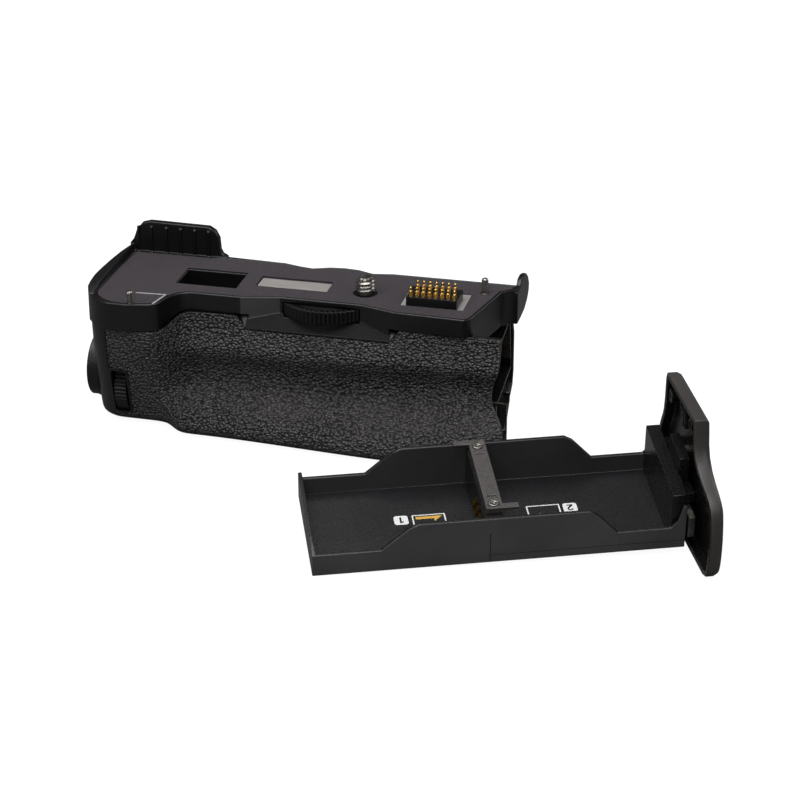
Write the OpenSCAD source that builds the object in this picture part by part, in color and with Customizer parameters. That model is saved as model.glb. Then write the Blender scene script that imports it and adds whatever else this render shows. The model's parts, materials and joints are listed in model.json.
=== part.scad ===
// Camera battery grip with its battery tray drawn out and laid beside it.
// Frame: X along the grip, Y to the rear, Z up. The origin is the middle of
// the tripod socket on the underside; the camera screw stands straight above it.
// Lengths are in millimetres.

/* [Body] */
// Height of the mating face above the underside
deck_z = 46; // [44:0.5:50]
// Wall thickness of the plastic cases
wall = 1.8; // [1.6:0.1:2.2]
// Thickness of the leather-look cover
cover_t = 1.0; // [0.6:0.1:1.4]
// Thickness of the felt pad on the mating face
pad_t = 0.5; // [0.3:0.1:0.8]
// Thickness of the base plate
base_t = 2; // [1.6:0.1:2.2]

/* [Battery bay and tray] */
// Width of one battery
battery_w = 36.4; // [36:0.1:36.8]
// Length of one battery
battery_l = 47.1; // [46:0.1:47.4]
// Thickness of one battery
battery_h = 15.7; // [15:0.1:16]
// Slack beside and above a battery
cell_slack = 0.7; // [0.4:0.1:0.9]
// Wall thickness of the tray
tray_t = 1.4; // [1.2:0.1:1.6]
// Sliding clearance between tray and bay
tray_gap = 0.4; // [0.3:0.05:0.6]
// Roll of the bay in the grip, rear side up
bay_roll = 9; // [7:0.5:9.5]

/* [Camera screw and wheel] */
// Outer radius of the quarter-inch camera screw
screw_r = 3.175; // [3.1:0.005:3.2]
// Height of the camera screw above the mating face
screw_h = 5.8; // [4.5:0.1:6.5]
// Outer radius of the knurled wheel
wheel_r = 17; // [16.8:0.1:17.4]
// Height of the knurled wheel
wheel_h = 4; // [3.4:0.1:4.2]
// Radial running clearance of shafts and stems in their holes
run_gap = 0.05; // [0.02:0.01:0.08]

/* [Controls] */
// Radius of the shutter collar
collar_r = 10.8; // [9.8:0.1:11.2]
// Radius of the shutter button
shutter_r = 4.2; // [3.8:0.1:4.4]
// Travel of the shutter button
shutter_travel = 1; // [0.6:0.1:1.2]
// Radius of the front and rear dials
dial_r = 10.2; // [9.8:0.1:10.4]
// Thickness of the dials
dial_t = 4; // [3.6:0.1:4.2]
// Radius of the rear push buttons
key_r = 3; // [2.6:0.1:3.1]
// Radius of the tripod socket
socket_r = 3.175; // [3.1:0.005:3.2]

/* [Hidden] */
$fn = 64;

// Levels and ends of the body
band_h = 6.2;
band_z = deck_z - band_h;
left_band_z = deck_z - 9.6;
plate_z = deck_z - pad_t;
left_x = -88;
right_x = 48;
rear_end_x = 43;
deck_t = 1.2;
wheel_top = plate_z - deck_t - 0.2;
wheel_z = wheel_top - wheel_h;

// Where the tray lies: its turn about the vertical, its rise towards the door and the place
// of its near left lower corner on the table
tray_yaw = 21.17;
tray_rise = 0.98;
tray_x = 11.2;
tray_y = -108.7;

// Gears of the wheel and the screw: tooth module, teeth inside the wheel, teeth of the pinion
gear_m = 0.55;
ring_teeth = 54;
pinion_teeth = 10;
ring_pr = gear_m * ring_teeth / 2;
pinion_pr = gear_m * pinion_teeth / 2;
gear_d = ring_pr - pinion_pr;
wheel_a = 174.3;
wheel_x = gear_d * cos(wheel_a);
wheel_y = gear_d * sin(wheel_a);

// Bay and tray sizes, in the tray's own axes
cell_l = battery_l + 3.4;
bridge_w = 5.5;
end_t = 1.2;
floor_t = 1.5;
tray_w = battery_w + 2 * cell_slack + 2 * tray_t;
tray_high = battery_h;
tray_low = tray_high - 8.4;
bridge_x = end_t + cell_l;
bulk_x = bridge_x + bridge_w + cell_l;
rim_x = bulk_x + 5.8;
pivot_x = right_x - rim_x + 0.1;
pivot_y = -8;
pivot_z = base_t + 2.2;
liner_t = 0.9;
shell_t = 1.7;
bay_top = floor_t + battery_h + cell_slack;

// Smooth step from 0 at a to 1 at b
function smooth(a, b, x) =
  let(t = min(1, max(0, (x - a) / (b - a)))) t * t * (3 - 2 * t);
function bell(z, c, w) = exp(-pow((z - c) / w, 2));

// Front surface of the grip: Y as a function of X and Z
function front_left(z) = -27 + 7 * pow(max(0, 36 - min(z, 36)) / 36, 1.5);
// Depth and height of the lower swell, height of the ridge above it
function swell(x) = 13 + 5 * smooth(-55, 25, x) - 4 * smooth(38, 48, x);
function swell_z(x) = 12.4 + 4.2 * smooth(10, 48, x);
function ridge_z(x) = 28 + 1.5 * smooth(-30, 40, x);
function front_main(x, z) = -14.6 - 2.7 * bell(z, ridge_z(x), 5.2)
  - swell(x) / (1 + exp((z - swell_z(x)) / 1.9));
function front_foot(z) = z < 3.5 ? 4 * pow((3.5 - z) / 3.5, 2) : 0;
function front_corner(x) = x < -78 ? 10 - sqrt(max(0, 100 - pow(x + 78, 2))) : 0;
function front_y(x, z) = let(t = smooth(-65.5, -55, x))
  (1 - t) * front_left(z) + t * front_main(x, z) + front_foot(z) + front_corner(x);
// Upper edge of the front shell, lower under the wheel and at the left end
function front_top(x) = band_z
  - 4.4 * (smooth(-39.6, -36.6, x) - smooth(11.6, 14.6, x))
  - (left_band_z < band_z ? band_z - left_band_z : 0) * (1 - smooth(-63.2, -57.4, x));
// Right edge of the front shell, stepped out at the lower swell
function front_end(z) = right_x - 2.6 * (smooth(15.5, 19.5, z) - smooth(22, 31, z))
  + 3.4 * (1 - smooth(12.5, 17.5, z));
function front_x(s, z) = s < 30 ? s
  : s + (front_end(z) - right_x) * (s - 30) / (right_x - 30);

xs_shell = [-88, -87.6, -86.8, -85.5, -84, -82, -80.7, -80.5, -77.5, -74, -70, -66.5,
  -63.2, -61.6, -60, -58.6, -57.2, -55, -50, -45, -39.7, -38.1, -36.5, -30, -22, -12, -2,
  6, 11.5, 13.1, 14.7, 20, 27, 33, 38, 43, 48];
xs_cover = [for (x = xs_shell) if (x >= -80.6) x];
vs = [0, 0.03, 0.07, 0.12, 0.18, 0.23, 0.27, 0.31, 0.35, 0.39, 0.43, 0.48, 0.54, 0.6,
  0.66, 0.72, 0.78, 0.84, 0.9, 0.95, 1];
foot_z = 0.4;

// One sheet between two depths behind the front surface
module front_sheet(xs, d_out, d_in) {
  nx = len(xs);
  nv = len(vs);
  grid = [for (side = [0, 1]) for (i = [0:nx - 1]) for (k = [0:nv - 1])
    let(s = xs[i],
        z = foot_z + (front_top(s) - 0.1 - foot_z) * vs[k],
        x = front_x(s, z),
        d = side == 0 ? (s < -80.6 ? 0 : d_out) : d_in)
    [x, front_y(s, z) + d, z]];
  n = nx * nv;
  outer = [for (i = [0:nx - 2]) for (k = [0:nv - 2]) each
    let(a = i * nv + k, b = a + nv) [[a, a + 1, b + 1], [a, b + 1, b]]];
  inner = [for (i = [0:nx - 2]) for (k = [0:nv - 2]) each
    let(a = n + i * nv + k, b = a + nv) [[a, b + 1, a + 1], [a, b, b + 1]]];
  low = [for (i = [0:nx - 2]) each
    let(a = i * nv, b = a + nv) [[a, b, n + b], [a, n + b, n + a]]];
  top = [for (i = [0:nx - 2]) each
    let(a = i * nv + nv - 1, b = a + nv) [[a, n + b, b], [a, n + a, n + b]]];
  left = [for (k = [0:nv - 2]) each
    let(a = k) [[a, n + a + 1, a + 1], [a, n + a, n + a + 1]]];
  right = [for (k = [0:nv - 2]) each
    let(a = (nx - 1) * nv + k) [[a, a + 1, n + a + 1], [a, n + a + 1, n + a]]];
  polyhedron(points = grid, faces = concat(outer, inner, low, top, left, right));
}

// Plan outline of the mating face, counter-clockwise from above
outline = [[-89.2, -17.4], [-87.7, -21.2], [-85.2, -24.5], [-82, -26.8], [-78.4, -27.9],
  [-73, -28], [-65.3, -26.2], [-62.9, -24.6], [-62.2, -21.2], [-61, -17.9], [-58.8, -14.7],
  [-55.7, -13.1], [-38.6, -13.1], [-26, -10.4], [1, -10.7], [13.5, -14.4], [36, -15.4],
  [38, -13.6], [43.2, 10.7], [47.9, 14.6], [47.9, 18.3], [5, 18.4], [-1.5, 17.2],
  [-3.6, 17.9], [-7, 19.3], [-12, 19.9], [-17, 19.3], [-20.4, 17.9], [-22.5, 17.2],
  [-27, 18], [-32.6, 19.7], [-53, 20], [-86.6, 20], [-88, 12], [-88.8, 4], [-89.3, -4],
  [-89.5, -11]];

// Each corner moved inwards by d along the mean of its two edge normals
function inset(p, d) = let(n = len(p)) [for (i = [0:n - 1])
  let(a = p[(i + n - 1) % n], b = p[i], c = p[(i + 1) % n],
      u = (b - a) / norm(b - a), v = (c - b) / norm(c - b),
      m = [-u[1] - v[1], u[0] + v[0]],
      k = 2 * d / (m[0] * m[0] + m[1] * m[1]))
  b + m * k];

// Rear outline of the body in Y and Z, from the shoulder down to the underside
rear_out = [[19.5, 39.2], [26, 38.6], [29.8, 36], [31.2, 33], [32.6, 29], [35.4, 22],
  [35.4, 8], [33.8, 3], [29.2, 0]];
rear_in = [[19.5, 39.2 - wall], [25.4, 38.7 - wall], [29.9 - wall, 35], [31.2 - wall, 32.6],
  [32.6 - wall, 28.6], [35.4 - wall, 21.6], [35.4 - wall, 8.3], [34.3 - wall, 4.3],
  [30.4 - wall, base_t + 0.05]];

module extrude_x(x0, x1) {
  translate([x0, 0, 0]) rotate([90, 0, 90]) linear_extrude(x1 - x0) children();
}
module rod_x(x0, x1, y, z, r) {
  translate([x0, y, z]) rotate([0, 90, 0]) cylinder(r = r, h = x1 - x0);
}
module rod_y(x, y0, y1, z, r) {
  translate([x, y0, z]) rotate([-90, 0, 0]) cylinder(r = r, h = y1 - y0);
}
module box(a, b) {
  translate(a) cube(b - a);
}
// Knurled disc about Z: flats of small ribs round a plain rim
module knurl(r, depth, h, count) {
  linear_extrude(h) polygon([for (i = [0:count - 1]) each
    let(a = 360 * i / count, w = 360 / count)
    [[(r - depth) * cos(a), (r - depth) * sin(a)],
     [r * cos(a + 0.25 * w), r * sin(a + 0.25 * w)],
     [r * cos(a + 0.6 * w), r * sin(a + 0.6 * w)],
     [(r - depth) * cos(a + 0.85 * w), (r - depth) * sin(a + 0.85 * w)]]]);
}

// Places on the mating face
pocket = [[-62.6, -5.8], [-42.4, 7.6]];
pocket_depth = 8;
label = [[-36.5, -1.9], [-12.7, 6.3]];
seat = [[13.4, -7.2], [34, 6.6]];
block = [[15.2, -7], [32, 2.8]];
block_h = 2.9;
pin_l = [-71.8, -26];
pin_l_r = 0.7;
pin_l_head = 1.15;
pin_l_h = 4.2;
pin_r = [37.9, 9];
pin_r_r = 1.1;
pin_foot = 0.2;
neck_r = 1.9;
board = [[-38, -7], [36, 22]];
board_z = 31;
board_t = 1.2;
posts = [[-34, -4], [-34, 17], [34.2, -4], [31, 15]];
slot_l = -24.6;
slot_r = 0.8;

// Places of the controls
shutter_y = -5;
shutter_z = 14;
collar_t = 1.5;
ring_t = 2.5;
plug_r = 5.2;
front_dial_x = -79.4;
front_dial_y = -14;
front_dial_z = 13.2;
rear_dial_x = -76.6;
rear_dial_y = 24;
rear_dial_z = 30;
rear_dial_r = dial_r - 1.6;
keys_z = 33.2;
key_board_y = 26;
focus_x = -62.5;
exposure_x = -52;
menu_x = -22;
stick_x = -37;
switch_x = -4;
lamp_x = 8;
power_x = 30;
power_z = 33;
axle_r = 1.2;

// Where the skirt of the left end runs out, and the ends of the ledge under the wheel
skirt_xs = [-63.2, -61.6, -60, -58.6, -57.2];
ledge_xs = [-39.7, -38.1, -36.5, 11.5, 13.1, 14.7];
end_wall_z = deck_z - 12;
rib_xs = [-84, -79.4, -74.1, -69.1, -64.2, -59.3];

module top_frame() color([0.07, 0.07, 0.075]) {
  difference() {
    union() {
      translate([0, 0, band_z]) linear_extrude(band_h) polygon(outline);
      // Deeper skirt at the left end
      intersection() {
        translate([0, 0, left_band_z]) linear_extrude(band_z - left_band_z + 1) polygon(outline);
        translate([0, 19.4, 0]) rotate([90, 0, 0]) linear_extrude(50) polygon(concat([[-95, left_band_z]],
          [for (x = skirt_xs) [x, front_top(x)]], [[skirt_xs[len(skirt_xs) - 1], band_z + 1], [-95, band_z + 1]]));
      }
      // Raised lip round the left end
      intersection() {
        translate([0, 0, deck_z - 1]) linear_extrude(3.2) polygon(outline);
        extrude_x(-95, -85.9) polygon([[-21.5, deck_z - 1], [20, deck_z - 1], [20, deck_z + 2.2], [-9, deck_z + 2.2],
          [-15, deck_z + 1.7], [-19, deck_z + 0.8], [-21.5, deck_z + 0.05]]);
      }
      // Ribbed tab at the rear left
      translate([0, 22, 0]) rotate([90, 0, 0]) linear_extrude(2.6) polygon([[-87.2, deck_z - 2],
        [-53, deck_z - 2], [-53, deck_z + 0.1], [-54.6, deck_z + 0.9], [-55.4, deck_z + 2.4], [-55.7, deck_z + 6.4],
        [-57, deck_z + 9], [-59.2, deck_z + 10.3], [-80, deck_z + 10.6], [-82.8, deck_z + 9.8], [-84.4, deck_z + 7.8],
        [-85.6, deck_z + 5], [-87.2, deck_z + 1.2]]);
      for (x = rib_xs) {
        box([x - 0.45, 18.7, deck_z - 0.6], [x + 0.45, 19.5, deck_z + 9]);
      }
      // End plate and ear at the rear right
      extrude_x(right_x - 1.7, right_x) polygon([[13.5, end_wall_z], [20, end_wall_z], [26, deck_z - 11.6],
        [30.5, deck_z - 10], [33.2, deck_z - 7.6], [33.8, deck_z - 5], [31.6, deck_z - 1.8], [28.4, deck_z + 0.4],
        [24.6, deck_z + 1.4], [21, deck_z + 1.3], [19.4, deck_z], [18.4, deck_z - 0.6], [13.5, deck_z - 1]]);
      // Deeper wall under the right end of the mating face
      intersection() {
        translate([0, 0, end_wall_z]) linear_extrude(band_z - end_wall_z + 1) polygon(outline);
        box([36.3, -11.8, end_wall_z], [right_x, 16.6, band_z + 1]);
      }
      // Walls of the storage pocket
      box([pocket[0][0] - 1.4, pocket[0][1] - 1.4, plate_z - pocket_depth - 1.4],
        [pocket[1][0] + 1.4, pocket[1][1] + 1.4, deck_z - 1]);
      // Posts for the board
      for (p = posts) {
        translate([p[0], p[1], board_z + board_t]) cylinder(r = 1.8, h = plate_z - board_z - board_t - 0.5);
      }
      // Lower wall behind the ledge of the wheel
      intersection() {
        translate([0, 0, band_z - 4.3]) linear_extrude(5) polygon(outline);
        box([-36.3, -15, band_z - 4.3], [11.3, 0, band_z + 0.5]);
      }
      // Sloping ledge under the wheel, cut at its ends along the cover's edge
      intersection() {
        extrude_x(ledge_xs[0], ledge_xs[5]) polygon([[-14.9, band_z - 4.3], [-14.9, band_z - 3.7], [-10.3, band_z + 1],
          [-9.6, band_z + 1], [-9.6, band_z - 1.6], [-12, band_z - 1.6], [-13.6, band_z - 4.3]]);
        rotate([90, 0, 0]) linear_extrude(20) polygon(concat([for (x = ledge_xs) [x, front_top(x)]],
          [[ledge_xs[5], band_z + 2], [ledge_xs[0], band_z + 2]]));
      }
    }
    // Hollow underneath
    difference() {
      translate([0, 0, left_band_z - 1.2]) linear_extrude(plate_z - deck_t - left_band_z + 1.2)
        polygon(inset(outline, wall));
      box([pocket[0][0] - 1.4, pocket[0][1] - 1.4, plate_z - pocket_depth - 1.4],
        [pocket[1][0] + 1.4, pocket[1][1] + 1.4, deck_z]);
      for (p = posts) {
        translate([p[0], p[1], board_z]) cylinder(r = 1.8, h = deck_z - board_z);
      }
    }
    // Hollow behind the deeper wall
    intersection() {
      translate([0, 0, end_wall_z - 1]) linear_extrude(band_z - end_wall_z + 2) polygon(inset(outline, wall));
      box([36.2, -15, end_wall_z - 1], [right_x, 20, band_z + 1]);
    }
    // Seat of the pad
    translate([0, 0, plate_z]) linear_extrude(pad_t + 0.01) polygon(inset(pad_edge, 0));
    // Pocket
    box([pocket[0][0], pocket[0][1], plate_z - pocket_depth], [pocket[1][0], pocket[1][1], deck_z + 1]);
    // Label recess
    box([label[0][0], label[0][1], plate_z - 0.5], [label[1][0], label[1][1], deck_z + 1]);
    // Neck of the screw
    translate([0, 0, plate_z - deck_t - 1]) cylinder(r = neck_r + run_gap, h = deck_t + 4);
    // Stem of the connector
    box([block[0][0] + 0.15, block[0][1] + 0.15, plate_z - deck_t - 1], [block[1][0] - 0.15, block[1][1] - 0.15, deck_z]);
    // Holes of the locating pins
    translate([pin_l[0], pin_l[1], plate_z - 4]) cylinder(r = pin_l_r + pin_foot, h = 6);
    translate([pin_r[0], pin_r[1], plate_z - 4]) cylinder(r = pin_r_r + pin_foot, h = 6);
    // Slot of the wheel in the front
    box([slot_l, -20, wheel_z - 0.5], [slot_r, -8, wheel_top + 0.2]);
    // Room for the wheel inside the band at the front and the rear
    translate([wheel_x, wheel_y, wheel_z - 0.4]) cylinder(r = wheel_r + 0.4, h = wheel_h + 0.6);
    // Slot behind the ear for the end of the rear case
    box([rear_end_x - 2, 19.6, 20], [rear_end_x + 0.1, 40, 39.4]);
  }
}

// Outline of the pad: the mating face less the rim, the lip and the tab
pad_edge = [[-85.5, -18.3], [-84.4, -21.6], [-81.4, -24.7], [-78, -26.4], [-73, -26.9], [-65.6, -25.2],
  [-63.9, -23.9], [-63.2, -20.8], [-62, -17.4], [-59.5, -13.9], [-55.9, -12.2], [-38.4, -12.2],
  [-25.8, -9.6], [1, -9.8], [13.5, -13.5], [35.6, -14.4], [37.2, -13.1], [42.3, 11.2], [46, 14.4],
  [46, 17.4], [5, 17.5], [-1.7, 16.3], [-4, 17.1], [-7.2, 18.4], [-12, 19], [-16.8, 18.4],
  [-20.1, 17.1], [-22.6, 16.3], [-27.2, 17.1], [-32.8, 18.8], [-53, 18.9], [-53, 18.2],
  [-84.6, 18.2], [-85.5, 4]];

module mating_pad() color([0.23, 0.22, 0.25]) {
  difference() {
    translate([0, 0, plate_z]) linear_extrude(pad_t) polygon(inset(pad_edge, 0.15));
    box([pocket[0][0] - 0.3, pocket[0][1] - 0.3, plate_z - 1], [pocket[1][0] + 0.3, pocket[1][1] + 0.3, deck_z + 1]);
    box([label[0][0] - 0.2, label[0][1] - 0.2, plate_z - 1], [label[1][0] + 0.2, label[1][1] + 0.2, deck_z + 1]);
    box([seat[0][0] - 0.1, seat[0][1] - 0.1, plate_z - 1], [seat[1][0] + 0.1, seat[1][1] + 0.1, deck_z + 1]);
    translate([0, 0, plate_z - 1]) cylinder(r = screw_r + 0.8, h = 4);
    translate([pin_l[0], pin_l[1], plate_z - 1]) cylinder(r = pin_l_r + 0.4, h = 4);
    translate([pin_r[0], pin_r[1], plate_z - 1]) cylinder(r = pin_r_r + 0.4, h = 4);
    for (x = rib_xs) {
      box([x - 0.8, 18, plate_z - 1], [x + 0.8, 18.4, deck_z + 1]);
    }
  }
}

module label_plate() color([0.72, 0.73, 0.74]) {
  box([label[0][0] + 0.1, label[0][1] + 0.1, plate_z - 0.5], [label[1][0] - 0.1, label[1][1] - 0.1, plate_z - 0.1]);
}

module front_shell() color([0.08, 0.08, 0.085]) {
  difference() {
    front_sheet(xs_shell, cover_t, cover_t + shell_t);
    dial_window(0.5, 2.2);
  }
  // Bosses for the screws of the base
  for (x = [-30, 20]) {
    difference() {
      box([x - 3, front_y(x, base_t) + cover_t + 0.9, base_t], [x + 3, -14.5, base_t + 4]);
      translate([x, -18, base_t - 1]) cylinder(r = 0.9, h = 10);
    }
  }
}

module grip_cover() color([0.06, 0.06, 0.065]) {
  difference() {
    front_sheet(xs_cover, 0, cover_t);
    dial_window(0.2, 0);
  }
}

// Window of the front dial
module dial_window(grow, low) {
  box([front_dial_x - 0.4 - grow, -40, front_dial_z - 8 - low],
    [front_dial_x + dial_t + 0.4 + grow, -16, front_dial_z + 7.4 + grow]);
}

// Left wall outline in Y and Z behind the front shell
wall_zs = [0.4, 2, 3.5, 6, 9, 12, 16, 20, 25, 30, 34, 36];
module rear_case() color([0.08, 0.08, 0.085]) {
  difference() {
    union() {
      extrude_x(left_x + 2, rear_end_x) polygon(concat(rear_out, [for (i = [len(rear_in) - 1:-1:0]) rear_in[i]]));
      extrude_x(left_x, left_x + 2) polygon(concat(
        [for (z = wall_zs) [front_y(left_x, z) + cover_t + shell_t + 0.1, z < 36 ? z : left_band_z - 0.05]],
        [[19.5, left_band_z - 0.05]],
        [for (p = rear_out) if (p[1] < left_band_z - 0.1) p]));
      // Feet inside, for the screws of the base
      for (x = [-66, 38]) {
        box([x - 3, 20.5, base_t], [x + 3, 31.4, base_t + 3.4]);
      }
      // Posts of the key board
      for (x = [-57, -12]) {
        rod_y(x, key_board_y + 1, 30.2, keys_z, 1.2);
      }
    }
    // Plug of the shutter collar
    rod_x(left_x - 1, left_x + 3, shutter_y, shutter_z, plug_r + run_gap);
    // Keys
    for (x = [focus_x, exposure_x, menu_x]) {
      rod_y(x, 26, 36, keys_z, key_r + 0.3);
    }
    rod_y(stick_x, 26, 36, keys_z, 2.6);
    box([switch_x - 3.8, 26, keys_z - 1.3], [switch_x + 3.8, 36, keys_z + 1.3]);
    for (x = [lamp_x, lamp_x + 4]) {
      rod_y(x, 26, 36, keys_z, 1.05);
    }
    rod_y(power_x, 26, 36, power_z, 3.2);
    // Slot of the rear dial
    box([rear_dial_x - rear_dial_r, 22, rear_dial_z - 0.4], [rear_dial_x + rear_dial_r, 40, rear_dial_z + dial_t + 0.4]);
    // Screws of the base
    for (x = [-66, 38]) {
      translate([x, 24, -1]) cylinder(r = 0.9, h = 20);
    }
    // Seat of the flap
    box([power_x - 5.3, 29.6, power_z - 3.8], [power_x + 5.3, 40, power_z + 4.6]);
  }
}

base_xs = [-85.9, -84, -82, -79, -76, -72, -68, -65, -62, -59, -56, -52, -46, -38, -28, -18, -8, 2, 12, 22, 32, 40, 48];
module base_plate() color([0.08, 0.08, 0.085]) {
  difference() {
    linear_extrude(base_t) polygon(concat(
      [for (x = base_xs) [x, front_y(x, foot_z) + cover_t + shell_t + 0.12]],
      [[48, -8], [47, -2.3], [45.3, 13.2], [43.4, 27.2], [-85.9, 27.2]]));
    translate([0, 0, -1]) cylinder(r = socket_r + 1.8, h = 10);
    for (p = base_screws) {
      translate([p[0], p[1], -1]) cylinder(r = 1, h = 10);
      translate([p[0], p[1], -1]) cylinder(r = 1.9, h = 2);
    }
  }
}
base_screws = [[-66, 24], [38, 24], [-30, -18], [20, -18]];

// Moves children from the tray's own axes into the bay
module in_bay() {
  translate([pivot_x, pivot_y, pivot_z]) rotate([bay_roll, 0, 0]) children();
}
// Moves children from the bay to the place where the tray lies
module drawn_out() {
  translate([tray_x, tray_y, 0]) rotate([0, -tray_rise, tray_yaw])
    translate([-pivot_x, -pivot_y, -pivot_z]) children();
}

// Start of the leaf's seat, in the tray's own axes
leaf_x = rear_end_x - pivot_x - 7.4;

module bay_liner() color([0.1, 0.1, 0.105]) {
  g = tray_gap;
  difference() {
    union() {
      in_bay() box([-g - 4, -g - liner_t, -g - liner_t], [rear_end_x - pivot_x - 0.5, tray_w + g + liner_t, bay_top + liner_t]);
      // Legs that stand on the base plate
      for (x = [15.4, 55.4, 95.4]) {
        translate([pivot_x, 0, 0]) box([x - 3, 12, base_t], [x + 3, 16, pivot_z + 4.4]);
      }
      // Pillars up to the deck
      for (x = [pivot_x - 0.6, 8]) {
        box([x - 2, 14.5, 26], [x + 2, 16.5, plate_z - deck_t]);
      }
    }
    in_bay() box([-g, -g, -g], [200, tray_w + g, bay_top]);
    // Seat of the contact block
    in_bay() box([-g - 3.2, 8, 2], [1, 32, 12]);
    // Seat of the leaf at the mouth
    in_bay() box([leaf_x, tray_w + g - 0.01, 3], [200, tray_w + g + 0.5, 16]);
    // Room for the tripod bush
    translate([0, 0, -1]) cylinder(r = socket_r + 1.8, h = 6);
  }
}

module bay_contacts() color([0.12, 0.12, 0.13]) {
  in_bay() difference() {
    box([-tray_gap - 3.2, 8.05, 2.05], [-tray_gap - 0.2, 31.95, 11.95]);
    for (y = contact_ys) {
      box([-tray_gap - 1.4, y - 1.1, 3], [0, y + 1.1, 11]);
    }
  }
}
contact_ys = [11, 15.5, 20, 24.5, 29];

module contact_springs() color([0.83, 0.66, 0.3]) {
  in_bay() for (y = contact_ys) {
    translate([-tray_gap - 1.4, y - 0.9, 3.05]) rotate([90, 0, 90]) linear_extrude(0.3) square([1.8, 7.9]);
    translate([-tray_gap - 1.1, y + 0.9, 7]) rotate([90, 0, 0]) linear_extrude(1.8)
      polygon([[-0.1, -2.4], [0.7, 0], [-0.1, 2.4]]);
  }
}

module latch_keeper() color([0.7, 0.68, 0.62]) {
  difference() {
    union() {
      box([44.6, -12.4, base_t], [50, -11.4, 17]);
      box([44.6, -11.5, base_t], [46.4, -9.4, base_t + 1]);
    }
    // Window for the bolt
    in_bay() box([rim_x - 1.6, -8, 4], [rim_x + 1.4, 4, 12.2]);
  }
}

module bay_leaf() color([0.72, 0.71, 0.68]) {
  // Sprung strip that steadies the tray in the mouth
  in_bay() {
    box([leaf_x + 0.05, tray_w + tray_gap, 3.05], [rear_end_x - pivot_x - 0.5, tray_w + tray_gap + 0.45, 15.95]);
  }
}

module main_board() color([0.1, 0.25, 0.14]) {
  difference() {
    box([board[0][0], board[0][1], board_z], [board[1][0], board[1][1], board_z + board_t]);
    box([4, 13, 20], [12, 18, 40]);
  }
}

module key_board() color([0.1, 0.25, 0.14]) {
  box([-67.4, key_board_y, 30.4], [15, key_board_y + 1, 34.8]);
}

module connector_seat() color([0.55, 0.55, 0.54]) {
  difference() {
    box([seat[0][0], seat[0][1], plate_z], [seat[1][0], seat[1][1], plate_z + 0.3]);
    box([block[0][0] + 0.15, block[0][1] + 0.15, plate_z - 1], [block[1][0] - 0.15, block[1][1] - 0.15, plate_z + 1]);
  }
}

module connector_block() color([0.05, 0.05, 0.055]) {
  difference() {
    union() {
      box([block[0][0], block[0][1], plate_z + 0.3], [block[1][0], block[1][1], deck_z + block_h]);
      box([block[0][0] + 0.2, block[0][1] + 0.2, board_z + board_t], [block[1][0] - 0.2, block[1][1] - 0.2, plate_z + 0.4]);
    }
    for (p = contact_pins) {
      translate([p[0], p[1], deck_z - 5]) cylinder(r = 0.62 + run_gap, h = 20);
    }
  }
}
pin_pitch = 2.06;
contact_pins = concat(
  [for (i = [0:7]) [16.4 + pin_pitch * i, -5.2]],
  [for (i = [0:6]) [17.4 + pin_pitch * i, 0.8]]);
pin_travel = 0.8;

module connector_pins() color([0.86, 0.66, 0.25]) {
  for (p = contact_pins) {
    translate([p[0], p[1], deck_z - 5 + pin_travel + 0.2]) cylinder(r = 0.62, h = block_h + 6.9 - pin_travel, $fn = 20);
    translate([p[0], p[1], deck_z + block_h + 2.1]) cylinder(r1 = 0.62, r2 = 0.3, h = 0.8, $fn = 20);
  }
}

// Turned pin: a wider foot held in the frame and a plain shank with a rounded end
module round_pin(p, r, h) {
  top = plate_z + h;
  foot_top = deck_z + 0.05;
  translate([p[0], p[1], 0]) rotate_extrude() polygon([[0, plate_z - 3.9], [r + pin_foot, plate_z - 3.9],
    [r + pin_foot, foot_top], [r, foot_top], [r, top - 0.6 * r], [0.85 * r, top - 0.2 * r], [0.5 * r, top], [0, top]]);
}
// Headed pin at the left: a foot held in the frame, a thin stem and a low round head
module locating_pin_left() color([0.6, 0.6, 0.6]) {
  top = deck_z + pin_l_h;
  foot_top = deck_z + 0.05;
  translate([pin_l[0], pin_l[1], 0]) rotate_extrude() polygon([[0, plate_z - 3.9], [pin_l_r + pin_foot, plate_z - 3.9],
    [pin_l_r + pin_foot, foot_top], [pin_l_r, foot_top], [pin_l_r, top - 1.5], [pin_l_head, top - 1.1],
    [pin_l_head, top - 0.6], [0.6 * pin_l_head, top], [0, top]]);
}
module locating_pin_right() color([0.7, 0.7, 0.7]) {
  round_pin(pin_r, pin_r_r, 5.7);
}

carrier_z = wheel_z - 2;
module wheel_carrier() color([0.6, 0.61, 0.62]) {
  difference() {
    union() {
      translate([wheel_x, wheel_y, carrier_z]) cylinder(r = 14, h = 1.4);
      // Guide boss inside the ring
      difference() {
        translate([wheel_x, wheel_y, carrier_z]) cylinder(r = ring_pr - gear_m - 0.4, h = wheel_h + 1.9);
        translate([0, 0, carrier_z + 1.4]) cylinder(r = pinion_pr + gear_m + 0.5, h = 20);
        translate([wheel_x, wheel_y, carrier_z - 1]) cylinder(r = 6, h = 20);
      }
      // Arms to the deck
      for (s = [-1, 1]) {
        translate([wheel_x - 6.5, wheel_y + s * 7.5, carrier_z]) cylinder(r = 1.8, h = plate_z - deck_t - carrier_z);
      }
    }
    // Lower bearing of the screw
    translate([0, 0, carrier_z - 1]) cylinder(r = 1.5 + run_gap, h = 10);
    translate([wheel_x, wheel_y, carrier_z - 1]) cylinder(r = 4, h = 3);
    // Flat at the front, behind the ledge
    box([-40, -30, carrier_z - 1], [20, -8.4, wheel_z - 0.1]);
  }
}

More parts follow.
